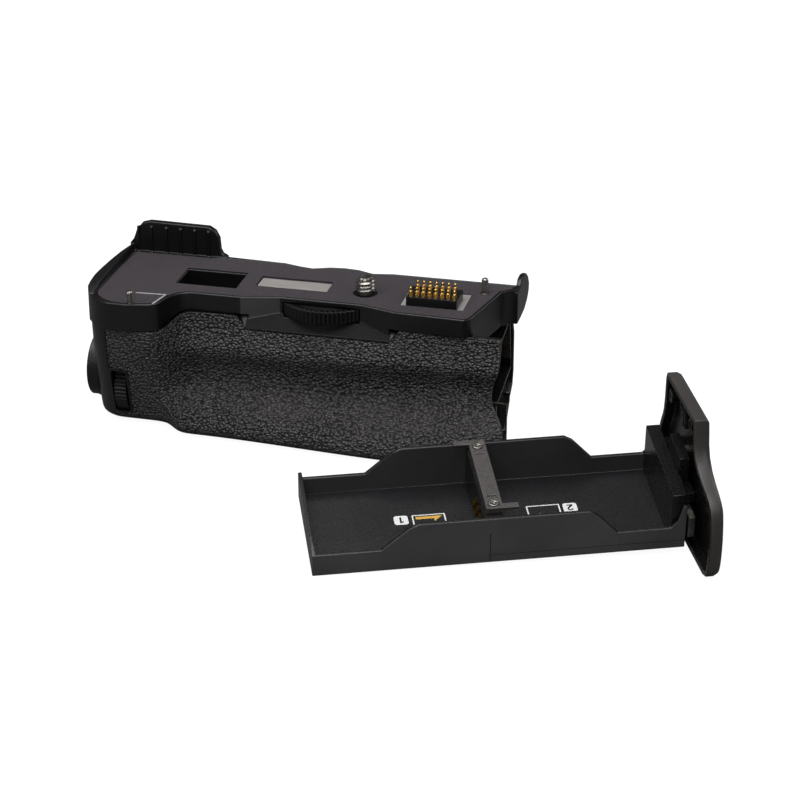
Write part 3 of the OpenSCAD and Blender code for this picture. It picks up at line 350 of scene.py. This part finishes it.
paint(tree, shader, spread(tree, tone, 0.35, 0.65, 0, 0.35), pebble_shaded_colour, (0.047, 0.043, 0.0445))
polish(tree, shader, top_share, 0.46, 0.3, 0, 1)
shader.inputs["Specular IOR Level"].default_value = 0.5
raise_surface(tree, shader, relief, 0.001)
smooth_skin("grip_cover", cover_finish, 2)
smooth_skin("front_shell", case_finish, 1)


# Pad on the mating face.
# Short dark grey-violet felt, die cut round the fittings and glued into a shallow seat.

felt_finish, tree, shader, place = new_finish("pad_felt")
fibre = noise(tree, place, 2600, 5, 0.75)
patch = noise(tree, place, 110, 3)
fibre_share = spread(tree, fibre, 0.3, 0.7, 0, 1)
felt_colour = mingle(tree, fibre_share, (0.0112, 0.0078, 0.0112), (0.0275, 0.0196, 0.0275))
paint(tree, shader, spread(tree, patch, 0.35, 0.65, 0, 0.4), felt_colour, (0.0235, 0.0172, 0.0233))
polish(tree, shader, fibre, 0.98, 0.85)
shader.inputs["Specular IOR Level"].default_value = 0.2
shader.inputs["Sheen Weight"].default_value = 0.15
raise_surface(tree, shader, fibre, 0.0003)
rounded("mating_pad", felt_finish, 0.12 * mm)


def small_bar(size, edge):
    # A bar about the origin with its edges rounded
    bm = bmesh.new()
    bmesh.ops.create_cube(bm, size=1)
    bmesh.ops.scale(bm, vec=size, verts=bm.verts)
    round_edges(bm, bm.edges[:], edge)
    return bm


# Two thin pale strips on the edges of the seat beside the pad at the left front corner: their pale grey is a
# painted highlight where those edges catch the light
edge_highlight_finish, tree, shader, place = new_finish("seat_edge_highlight")
edge_mottle = noise(tree, place, 1500, 4)
paint(tree, shader, spread(tree, edge_mottle, 0.35, 0.65, 0, 1), (0.28, 0.27, 0.26), (0.42, 0.405, 0.395))
polish(tree, shader, edge_mottle, 0.4, 0.6)
pad_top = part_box("mating_pad")[1].z
strip_size = 0.5 * mm
strip_sink = 0.1 * mm
strips = (("seat_edge_rear", Vector((-72.6, -17.4, 0)), Vector((-62.4, -16.9, 0))),
    ("seat_edge_side", Vector((-62.8, -17.4, 0)), Vector((-64.4, -25.2, 0))))
for name, start, end in strips:
    along = (end - start) * mm
    bm = small_bar((along.length, strip_size, strip_size), 0.06 * mm)
    turn = Matrix.Rotation(math.atan2(along.y, along.x), 3, "Z")
    bmesh.ops.rotate(bm, verts=bm.verts, cent=(0, 0, 0), matrix=turn)
    middle = start * mm + along / 2
    middle.z = pad_top - strip_sink
    bmesh.ops.translate(bm, verts=bm.verts, vec=middle)
    turn_out(name, bm, edge_highlight_finish, "grip", "case_plastic")


# Plain metal label let into the pad beside the storage well.
# Thin aluminium with a fine lengthwise brushing; it carries no print.

label_finish, tree, shader, place = new_finish("brushed_label")
hair = noise(tree, stretch(tree, place, (120, 5200, 5200)), 1, 4, 0.6)
paint(tree, shader, hair, (0.64, 0.6, 0.575), (0.88, 0.835, 0.8))
polish(tree, shader, hair, 0.32, 0.5)
shader.inputs["Metallic"].default_value = 0.85
raise_surface(tree, shader, hair, 0.00001)
rounded("label_plate", label_finish, 0.08 * mm)


# Camera screw and the other bright steel fittings.
# The screw is turned from bar with a rolled quarter-inch thread; pins, keeper, leaf, axles,
# crank and bolt are small turned or pressed parts.

steel_finish, tree, shader, place = new_finish("turned_steel")
lathe = noise(tree, stretch(tree, place, (300, 300, 4200)), 1, 3, 0.6)
stain = noise(tree, place, 240, 4)
paint(tree, shader, spread(tree, stain, 0.35, 0.7, 0, 1), (0.36, 0.342, 0.318), (0.27, 0.25, 0.225))
polish(tree, shader, lathe, 0.24, 0.4)
shader.inputs["Metallic"].default_value = 1
raise_surface(tree, shader, lathe, 0.000008)


def lathe_turned(profile, centre, steps=32):
    # A line of (radius, height) points turned about the vertical through centre, in millimetres
    bm = bmesh.new()
    last = None
    for radius, height in profile:
        point = bm.verts.new((radius * mm, 0, height * mm))
        if last:
            bm.edges.new((last, point))
        last = point
    bmesh.ops.spin(bm, geom=bm.verts[:] + bm.edges[:], cent=(0, 0, 0), axis=(0, 0, 1), angle=math.tau,
        steps=steps, use_merge=True)
    bmesh.ops.remove_doubles(bm, verts=bm.verts, dist=1e-6)
    bmesh.ops.recalc_face_normals(bm, faces=bm.faces)
    bmesh.ops.translate(bm, verts=bm.verts, vec=Vector(centre) * mm)
    return bm


def add_to(bm, other):
    mesh = bpy.data.meshes.new("joined")
    other.to_mesh(mesh)
    other.free()
    bm.from_mesh(mesh)
    bpy.data.meshes.remove(mesh)


screw_low, screw_high = (corner.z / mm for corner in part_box("camera_screw"))
screw_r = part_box("camera_screw")[1].x / mm
thread_pitch = 1.27
thread_root = screw_r - 0.62
thread_crest = screw_r - 0.02
shaft_r = 1.5
neck_r = 1.9
neck_low = 44
neck_high = 45.8
thread_low = 45.9
dimple_low = screw_high - 0.5
bm = lathe_turned([(0, screw_low), (shaft_r, screw_low), (shaft_r, neck_low), (neck_r, neck_low),
    (neck_r, neck_high), (thread_root, neck_high), (thread_root, screw_high - 0.6),
    (thread_root - 0.45, screw_high), (0.5, screw_high), (0.42, dimple_low), (0, dimple_low)], (0, 0, 0), 40)
thread = bmesh.new()
corners = [(thread_root - 0.05, 0), (thread_root, 0.12), (thread_crest, 0.52), (thread_crest, 0.72),
    (thread_root, 1.12), (thread_root - 0.05, 1.24)]
last = None
for radius, height in corners:
    point = thread.verts.new((radius * mm, 0, (thread_low + height) * mm))
    if last:
        thread.edges.new((last, point))
    last = point
turns = 3.3
turn_steps = 36
bmesh.ops.spin(thread, geom=thread.verts[:] + thread.edges[:], cent=(0, 0, 0), axis=(0, 0, 1),
    dvec=(0, 0, thread_pitch * mm / turn_steps), angle=math.tau * turns, steps=int(turn_steps * turns),
    use_merge=False)
bmesh.ops.recalc_face_normals(thread, faces=thread.faces)
add_to(bm, thread)
turn_out("camera_screw.look", bm, steel_finish, "camera_screw", "steel", "camera_screw")
for node in ("locating_pin_left", "locating_pin_right", "bay_leaf", "latch_keeper", "front_dial_axle",
        "rear_dial_axle", "shutter_spring", "bridge_screws", "door_screws", "latch_crank", "latch_bolt"):
    rounded(node, steel_finish, 0.1 * mm)

# The case screws are blackened steel
dark_steel, tree, shader, place = new_finish("blackened_steel")
stain = noise(tree, place, 300, 4)
paint(tree, shader, stain, (0.09, 0.088, 0.085), (0.2, 0.195, 0.19))
polish(tree, shader, stain, 0.3, 0.45)
shader.inputs["Metallic"].default_value = 0.9
rounded("case_screws", dark_steel, 0.08 * mm)

# Tripod bush: a turned steel insert; its thread is cut in the bore
bush_low, bush_high = (corner.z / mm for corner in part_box("tripod_bush"))
bush_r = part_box("tripod_bush")[1].x / mm
bore_r = 3.175
groove_r = bore_r + 0.3
chamfer = 0.15
wall = [(bush_r - chamfer, bush_low), (bush_r, bush_low + chamfer), (bush_r, bush_high),
    (groove_r, bush_high)]
height = bush_high - 0.2
while height - thread_pitch > bush_low:
    wall += [(groove_r, height), (groove_r, height - 0.15), (bore_r, height - 0.6), (bore_r, height - 0.75)]
    height -= thread_pitch
wall += [(groove_r, bush_low + 0.2), (bore_r + 0.5, bush_low), (bush_r - chamfer, bush_low)]
turn_out("tripod_bush.look", lathe_turned(wall, (0, 0, 0), 48), steel_finish, "grip", "steel", "tripod_bush")


# Knurled wheel of the camera screw with its carrier, and the two dials.
# Moulded in a harder, slightly glossier black; the ribs are rounded by the tool.

knurl_finish = plastic("ribbed_black", (0.005, 0.0047, 0.0046), (0.0085, 0.008, 0.0078), 0.32, 2600,
    0.00001, 0.3)
rounded("thumbwheel", knurl_finish, 0.12 * mm, 1)
rounded("wheel_carrier", knurl_finish, 0.1 * mm)
rounded("front_dial", knurl_finish, 0.12 * mm, 1)
rounded("rear_dial", knurl_finish, 0.12 * mm, 1)


# Electrical connector: grey seat, black block and sprung contact pins.
# The pins are gold-plated brass with a ball tip on a thinner neck.

seat_finish = plastic("grey_seat", (0.2, 0.19, 0.185), (0.27, 0.26, 0.25), 0.45, 2500, 0.00001, 0.5, 0.1)
rounded("connector_seat", seat_finish, 0.08 * mm)
block_finish = plastic("smooth_black", (0.004, 0.0038, 0.0038), (0.0065, 0.0062, 0.0062), 0.22, 2000,
    0.000006, 0.45)
rounded("connector_block", block_finish, 0.2 * mm)
gold_finish, tree, shader, place = new_finish("gold_plate")
rubbed = noise(tree, place, 900, 3)
paint(tree, shader, spread(tree, rubbed, 0.35, 0.7, 0, 1), (0.72, 0.46, 0.12), (0.55, 0.33, 0.085))
polish(tree, shader, rubbed, 0.18, 0.34)
shader.inputs["Metallic"].default_value = 1
pins_low, pins_high = (corner.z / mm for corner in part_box("connector_pins"))
pin_r = 0.6
ball_r = 0.5
ball_steps = 6
pin_profile = [(0, pins_low), (pin_r, pins_low), (pin_r, pins_high - 1.5), (pin_r - 0.12, pins_high - 1.35),
    (0.3, pins_high - 1.2), (0.27, pins_high - 0.95)]
for step in range(ball_steps):
    angle = math.radians(-55 + 145 * step / ball_steps)
    pin_profile.append((ball_r * math.cos(angle), pins_high - ball_r + ball_r * math.sin(angle)))
pin_profile.append((0, pins_high))
pins = bmesh.new()
pin_pitch = 2.06
rows = [(16.4, -5.2, 8), (17.4, 0.8, 7)]
for first_x, row_y, count in rows:
    for index in range(count):
        add_to(pins, lathe_turned(pin_profile, (first_x + pin_pitch * index, row_y, 0), 14))
turn_out("connector_pins.look", pins, gold_finish, "connector_pins", "gold", "connector_pins")
for node in ("contact_springs", "screw_pinion", "battery_contacts", "tray_terminals"):
    rounded(node, gold_finish, 0.06 * mm)


# Shutter release at the left end: collar, lock ring and button.
# Satin black rings round a polished button with a rounded rim.

rounded("shutter_collar", case_finish, 0.5 * mm, 3)
rounded("lock_ring", case_finish, 0.5 * mm, 4)
rounded("shutter_button", block_finish, 0.6 * mm, 3)


# Frame round the window of the front dial.
# A thin raised rim of the shell that shows through the cut in the cover.

window_low = Vector((-80.0, 0, 5.2))
window_high = Vector((-74.8, 0, 20.8))
rim = 0.75
rim_stand = 0.3
rim_depth = 1.4
end_x = -78
end_r = 10
foot_top = 3.5
foot_fall = 4
swell_front = -27
swell_top = 36
swell_fall = 7


def swell_left(x, z):
    # The front surface at the left end
    corner = end_r - math.sqrt(max(0, end_r ** 2 - (x - end_x) ** 2)) if x < end_x else 0
    foot = foot_fall * ((foot_top - z) / foot_top) ** 2 if z < foot_top else 0
    return swell_front + swell_fall * (max(0, swell_top - z) / swell_top) ** 1.5 + foot + corner


def round_block(x0, y0, x1, y1, radius):
    # Corner points of a rectangle with rounded corners
    points = []
    for corner_x, corner_y, start in ((x1 - radius, y1 - radius, 0), (x0 + radius, y1 - radius, 90),
            (x0 + radius, y0 + radius, 180), (x1 - radius, y0 + radius, 270)):
        for step in range(5):
            angle = math.radians(start + 22.5 * step)
            points.append((corner_x + radius * math.cos(angle), corner_y + radius * math.sin(angle)))
    return points


def filled(loops, to_place):
    # A flat patch between an outline and the openings in it
    bm = bmesh.new()
    edges = []
    for loop in loops:
        ring = [bm.verts.new(to_place(x, y)) for x, y in loop]
        for index, point in enumerate(ring):
            edges.append(bm.edges.new((point, ring[(index + 1) % len(ring)])))
    bmesh.ops.triangle_fill(bm, use_beauty=True, edges=edges)
    bmesh.ops.recalc_face_normals(bm, faces=bm.faces)
    return bm


rim_outside = round_block(window_low.x - rim, window_low.z - rim, window_high.x + rim,
    window_high.z + rim, 1.5)
rim_inside = round_block(window_low.x, window_low.z, window_high.x, window_high.z, 0.9)
bm = filled([rim_outside, rim_inside], lambda x, z: (x, 0, z))
long_lines = [line for line in bm.edges if line.calc_length() > 3]
bmesh.ops.subdivide_edges(bm, edges=long_lines, cuts=5, use_grid_fill=True)
for point in bm.verts:
    point.co.y = swell_left(point.co.x, point.co.z) - rim_stand
    point.co *= mm
grown = bmesh.ops.extrude_face_region(bm, geom=bm.faces[:])
for point in [part for part in grown["geom"] if isinstance(part, bmesh.types.BMVert)]:
    point.co.y += rim_depth * mm
bmesh.ops.recalc_face_normals(bm, faces=bm.faces)
lines = [line for line in bm.edges if len(line.link_faces) == 2 and line.calc_face_angle(0) > 0.8]
round_edges(bm, lines, 0.18 * mm)
turn_out("dial_window_frame", bm, case_finish, "grip", "case_plastic")


# Inside of the body: bay liner, contact block, shutter switch, stick base, power socket and boards.
# Smooth black mouldings; the boards have a green solder mask.

for node in ("bay_liner", "bay_contacts", "shutter_switch", "stick_base", "power_socket"):
    rounded(node, block_finish, 0.12 * mm)
board_finish, tree, shader, place = new_finish("solder_mask")
tracks = tree.nodes.new("ShaderNodeTexBrick")
tracks.inputs["Scale"].default_value = 160
tracks.inputs["Color1"].default_value = (0.012, 0.07, 0.028, 1)
tracks.inputs["Color2"].default_value = (0.016, 0.085, 0.034, 1)
tracks.inputs["Mortar"].default_value = (0.03, 0.12, 0.05, 1)
wire(tree, place, tracks.inputs["Vector"])
wire(tree, tracks.outputs["Color"], shader.inputs["Base Color"])
polish(tree, shader, noise(tree, place, 700, 2), 0.28, 0.4)
rounded("main_board", board_finish, 0.08 * mm)
rounded("key_board", board_finish, 0.08 * mm)


# Controls on the rear: keys, focus stick, mode switch, lamps and the flap of the power inlet.
# Keys and switch are satin black, stick and flap are soft rubber, the lamps are milky lenses.

for node in ("focus_button", "exposure_button", "menu_button"):
    rounded(node, case_finish, 0.45 * mm, 3)
rounded("mode_switch", case_finish, 0.12 * mm)
rubber_finish = plastic("soft_rubber", (0.007, 0.0066, 0.0065), (0.012, 0.0113, 0.011), 0.6, 1500,
    0.00004, 0.3)
rounded("focus_stick", rubber_finish, 0.4 * mm, 3)
rounded("socket_flap", rubber_finish, 0.3 * mm)

# Two thin screens inside the rear case hide most of the view past the socket and under the
# rear edge of the top frame
socket_low, socket_high = (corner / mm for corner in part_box("power_socket"))
socket_screen = (Vector((socket_low.x - 4, socket_low.y - 0.8, socket_low.z - 4)),
    Vector((socket_high.x + 4, socket_low.y, socket_high.z + 3)))
edge_screen = (Vector((-53, 12, 38.3)), Vector((36, 21, 38.9)))
for name, (low, high) in (("socket_screen", socket_screen), ("edge_screen", edge_screen)):
    bm = small_bar((high - low) * mm, 0.1 * mm)
    bmesh.ops.translate(bm, verts=bm.verts, vec=(high + low) / 2 * mm)
    turn_out(name, bm, case_finish, "grip", "case_plastic")

# Milky lenses of the two lamps
lamp_finish, tree, shader, place = new_finish("milky_lens")
haze = noise(tree, place, 500, 3)
paint(tree, shader, haze, (0.42, 0.5, 0.36), (0.6, 0.66, 0.55))
polish(tree, shader, haze, 0.2, 0.32)
rounded("lamp_windows", lamp_finish, 0.2 * mm)


# Battery tray: channel with stepped sides, contact bridge and bulkhead.
# Smooth black moulding, a little duller outside than on its floor.

tray_grains = 2400
tray_finish = plastic("tray_black", (0.0088, 0.0082, 0.0092), (0.0125, 0.0117, 0.013), 0.27, tray_grains,
    0.000012, 0.5)
channel = rounded("tray_channel", tray_finish, 0.25 * mm)
rounded("contact_bridge", block_finish, 0.15 * mm)
rounded("bulkhead", block_finish, 0.25 * mm)

# Where the tray lies, drawn out beside the grip, and how it rolls there
drawn_out = Matrix.Translation(Vector((11.2, -108.7, 0)) * mm)
drawn_out = drawn_out @ Matrix.Rotation(math.radians(21.17), 4, "Z")
drawn_out = drawn_out @ Matrix.Rotation(math.radians(-0.98), 4, "Y")
tray_place = drawn_out @ Matrix.Rotation(math.radians(9), 4, "X")

# The upright sides that face the front are painted paler than the floor as painted light, and the outside of
# the near wall palest of all, as a painted reflection of the white ground
side_depth = 0.000016
lit_side_finish = plastic("tray_side", (0.029, 0.0282, 0.0305), (0.039, 0.0379, 0.041), 0.36, tray_grains,
    side_depth, 0.5)
coat_faces(channel, lit_side_finish, lambda centre, normal: normal.y < -0.6 and abs(normal.z) < 0.5)
near_wall_reflection_finish = plastic("tray_near_side_painted_reflection", (0.058, 0.0568, 0.058), (0.076, 0.0745, 0.076), 0.42, tray_grains,
    side_depth, 0.4)
to_tray = tray_place.inverted()
near_wall = 0.9 * mm
coat_faces(channel, near_wall_reflection_finish, lambda centre, normal: normal.y < -0.6 and (to_tray @ centre).y < near_wall)

# Bar over the bridge: a pressed metal strip with a grey-brown coat
bar_finish, tree, shader, place = new_finish("coated_strip")
coat = noise(tree, place, 1400, 4)
paint(tree, shader, spread(tree, coat, 0.3, 0.7, 0, 1), (0.062, 0.057, 0.055), (0.095, 0.088, 0.085))
polish(tree, shader, coat, 0.38, 0.5)
shader.inputs["Metallic"].default_value = 0.4
raise_surface(tree, shader, coat, 0.00001)
rounded("bridge_bar", bar_finish, 0.12 * mm)

# Thin dark rings laid on the bar round the heads of its two screws, in the tray's own axes: painted shade
# under the screw heads
shade_ring_x = 54.9
shade_ring_bore = 1.5
shade_ring_low = 15.78
shade_ring_top = 15.86
shade_ring_profile = [(shade_ring_bore, shade_ring_low), (2.3, shade_ring_low), (2.24, shade_ring_top), (shade_ring_bore, shade_ring_top),
    (shade_ring_bore, shade_ring_low)]
for name, shade_ring_y in (("front_screw_shade_ring", 7.2), ("rear_screw_shade_ring", 37.2)):
    bm = lathe_turned(shade_ring_profile, (shade_ring_x, shade_ring_y, 0))
    bm.transform(tray_place)
    turn_out(name, bm, block_finish, "tray", "smooth_plastic")


# Marks on the tray's floor: the numbers of the two cells and how a battery lies in each.
# White and amber pad print, laid a few hundredths of a millimetre above the floor.

print_z = 1.54


def ink(name, colour):
    material, tree, shader, place = new_finish(name)
    wear = noise(tree, place, 1600, 4)
    worn = tuple(channel * 0.8 for channel in colour)
    paint(tree, shader, spread(tree, wear, 0.35, 0.7, 0, 1), colour, worn)
    polish(tree, shader, wear, 0.45, 0.6)
    return material


white_ink = ink("white_print", (0.72, 0.72, 0.72))
amber_ink = ink("amber_print", (0.62, 0.36, 0.06))


def printed(name, loops, finish):
    # An even thin film of ink on the floor of the tray
    bm = filled(loops, lambda x, y: (x * mm, y * mm, print_z * mm))
    if sum(face.normal.z for face in bm.faces) < 0:
        bmesh.ops.reverse_faces(bm, faces=bm.faces)
    bm.transform(tray_place)
    turn_out(name, bm, finish, "tray", "label")


def frame_loops(x0, y0, x1, y1, line):
    return [round_block(x0, y0, x1, y1, 0.3), round_block(x0 + line, y0 + line, x1 - line, y1 - line, 0.2)]


# The prints are read from the rear of the tray, so they stand on their heads from the front
one = [(-0.15, -1.5), (0.45, -1.5), (0.45, 1.5), (-0.05, 1.5), (-0.75, 0.95), (-0.75, 0.4), (-0.15, 0.75)]
two = [(-0.95, -1.5), (0.95, -1.5), (0.95, -0.95), (0, -0.95), (0.8, 0.1), (0.95, 0.6), (0.8, 1.15),
    (0.3, 1.5), (-0.35, 1.5), (-0.85, 1.15), (-0.95, 0.65), (-0.4, 0.65), (-0.25, 0.95), (0.1, 1),
    (0.38, 0.8), (0.3, 0.4), (-0.95, -0.9)]
tag_half = 2.15
tag_front = 19.9
tag_rear = 24.4
tag_middle = (tag_front + tag_rear) / 2
frame_line = 0.42
for name, digit, middle_x in (("first", one, 29.4), ("second", two, 81.4)):
    tag = round_block(middle_x - tag_half, tag_front, middle_x + tag_half, tag_rear, 0.9)
    cut_out = [(middle_x - across, tag_middle - along) for across, along in digit]
    printed(name + "_cell_tag", [tag, cut_out], white_ink)
printed("first_cell_frame", frame_loops(32.8, 13.2, 43, 24.2, frame_line), white_ink)
printed("second_cell_frame", frame_loops(68, 13.4, 78.3, 24.4, frame_line), white_ink)
first_arrow = [(33.9, 23.2), (33.9, 22), (39.5, 22), (39.5, 20.6), (42.1, 23.2)]
printed("first_cell_arrow", [first_arrow], amber_ink)
second_arrow = [(77.4, 17.6), (77.4, 18.8), (71.8, 18.8), (71.8, 20.6), (69, 17.6)]
printed("second_cell_arrow", [second_arrow], amber_ink)

# Witness lines on the outside of the tray's near wall, where two slides of the mould met
line_finish = plastic("mould_line", (0.002, 0.002, 0.002), (0.004, 0.004, 0.004), 0.5, tray_grains,
    0.00001, 0.2, 0)
line_y = -0.02
wall_lines = (("wall_line_upright", 52.9, 0.5, 53.12, 10.5), ("wall_line_low", 53, 2.7, 113, 2.82))
for name, x0, z0, x1, z1 in wall_lines:
    bm = filled([[(x0, z0), (x1, z0), (x1, z1), (x0, z1)]], lambda x, z: (x * mm, line_y * mm, z * mm))
    if sum(face.normal.y for face in bm.faces) > 0:
        bmesh.ops.reverse_faces(bm, faces=bm.faces)
    bm.transform(tray_place)
    turn_out(name, bm, line_finish, "tray", "smooth_plastic")


# Door of the bay with its latch knob.
# Satin plastic a little paler than the grip, moulded as a shallow shell and screwed to the bulkhead.

door_finish = plastic("door_satin", (0.031, 0.0276, 0.0256), (0.0435, 0.0388, 0.036), 0.4, 3000, 0.00002, 0.5)
door = rounded("door_shell", door_finish, 0.5 * mm, 3)
rounded("latch_knob", door_finish, 0.4 * mm, 3)

# The hollow of the door gets the smooth black finish as painted shade in the recess: its bottom, and the
# walls that look at its middle
door_place = drawn_out @ Matrix.Translation(Vector((65.4, 8, -4.2)) * mm)
to_door = door_place.inverted()
door_low, door_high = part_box("door_shell")
door_middle = to_door @ ((door_low + door_high) / 2)
hollow_x = 48.7 * mm


def inside_door(centre, normal):
    place = to_door @ centre
    facing = to_door.to_3x3() @ normal
    if facing.x < -0.5:
        return place.x > hollow_x
    inward = facing.y * (door_middle.y - place.y) + facing.z * (door_middle.z - place.z)
    return abs(facing.x) < 0.5 and inward > 0


coat_faces(door, block_finish, inside_door)

# Screw boss, moulded rings and ribs on the inner face of the door's neck
lie_down = Matrix.Rotation(math.radians(-90), 4, "Y")
neck_inside = 51.3
root = -0.2
rings = ((23.6, 39.6, 2.3, 0.9, 2.6), (15, 39.8, 2.6, 1.8, 1), (2.4, 39.6, 2, 1.2, 1.6))
fittings = bmesh.new()
for middle_y, middle_z, outer, inner, depth in rings:
    tube = lathe_turned([(inner, root), (outer, root), (outer, depth - 0.2), (outer - 0.2, depth),
        (inner + 0.1, depth), (inner, depth - 0.1), (inner, root)], (0, 0, 0), 28)
    tube.transform(Matrix.Translation(Vector((neck_inside, middle_y, middle_z)) * mm) @ lie_down)
    add_to(fittings, tube)
rib_size = Vector((2.4, 0.8, 8)) * mm
for rib_y in (9.4, 7.2, -4.6):
    rib_bar = small_bar(rib_size, 0.15 * mm)
    bmesh.ops.translate(rib_bar, vec=Vector((50.3, rib_y, 40)) * mm, verts=rib_bar.verts)
    add_to(fittings, rib_bar)
fittings.transform(door_place)
turn_out("door_fittings", fittings, block_finish, "tray", "smooth_plastic")


# Ground, light and camera.
# A white sweep under large soft lamps, seen from the front right. The sweep shows white to the
# camera and reflects little light onto the pieces.

ground_finish, tree, shader, place = new_finish("white_sweep")
paper = noise(tree, place, 30, 3)
polish(tree, shader, paper, 0.9, 0.94, 0, 1)
shader.inputs["Base Color"].default_value = (0.14, 0.14, 0.14, 1)
seen = tree.nodes.new("ShaderNodeLightPath")
wire(tree, mingle(tree, seen.outputs["Is Camera Ray"], (0, 0, 0), (1, 1, 1)), shader.inputs["Emission Color"])
shader.inputs["Emission Strength"].default_value = 0.94
bm = bmesh.new()
bmesh.ops.create_grid(bm, x_segments=8, y_segments=8, size=6)
sweep_gap = 0.00002
bmesh.ops.translate(bm, verts=bm.verts, vec=(0, 0, cad_box[0][2] - sweep_gap))
mesh = bpy.data.meshes.new("ground")
bm.to_mesh(mesh)
bm.free()
mesh.materials.append(ground_finish)
ground = bpy.data.objects.new("ground", mesh)
bpy.context.scene.collection.objects.link(ground)


def soft_lamp(name, place, aim, size, power):
    lamp = bpy.data.lights.new(name, "AREA")
    lamp.shape = "RECTANGLE"
    lamp.size, lamp.size_y = size
    lamp.energy = power
    stand = bpy.data.objects.new(name, lamp)
    stand.location = place
    stand.rotation_euler = (Vector(aim) - Vector(place)).to_track_quat("-Z", "Y").to_euler()
    bpy.context.scene.collection.objects.link(stand)


soft_lamp("top_box", (-0.05, -0.1, 0.95), (0, -0.03, 0), (1.0, 0.8), 11)
soft_lamp("left_box", (-0.7, -0.55, 0.6), (-0.02, -0.02, 0.02), (0.2, 0.6), 2)
soft_lamp("right_box", (0.8, -0.25, 0.6), (0.02, -0.04, 0.02), (0.4, 0.4), 1)
soft_lamp("rear_box", (0.9, 1.1, 0.7), (0, 0, 0.03), (0.6, 0.6), 3)
soft_lamp("front_box", (0.15, -1.3, 0.75), (0, -0.03, 0.02), (0.9, 0.4), 5)
world = bpy.data.worlds.new("studio")
world.use_nodes = True
world.node_tree.nodes["Background"].inputs["Color"].default_value = (0.95, 0.95, 0.96, 1)
world.node_tree.nodes["Background"].inputs["Strength"].default_value = 0.06
bpy.context.scene.world = world
bpy.context.scene.view_settings.view_transform = "Standard"

camera_height_angle = 24.56
camera_turn = 13.53
lens = bpy.data.cameras.new("camera")
lens.sensor_width = 36
lens.lens = 113.8
lens.clip_end = 20
camera = bpy.data.objects.new("camera", lens)
camera.location = Vector((189.67, -739.92, 356.64)) * mm
camera.rotation_euler = (math.radians(90 - camera_height_angle), 0, math.radians(camera_turn))
bpy.context.scene.collection.objects.link(camera)
bpy.context.scene.camera = camera
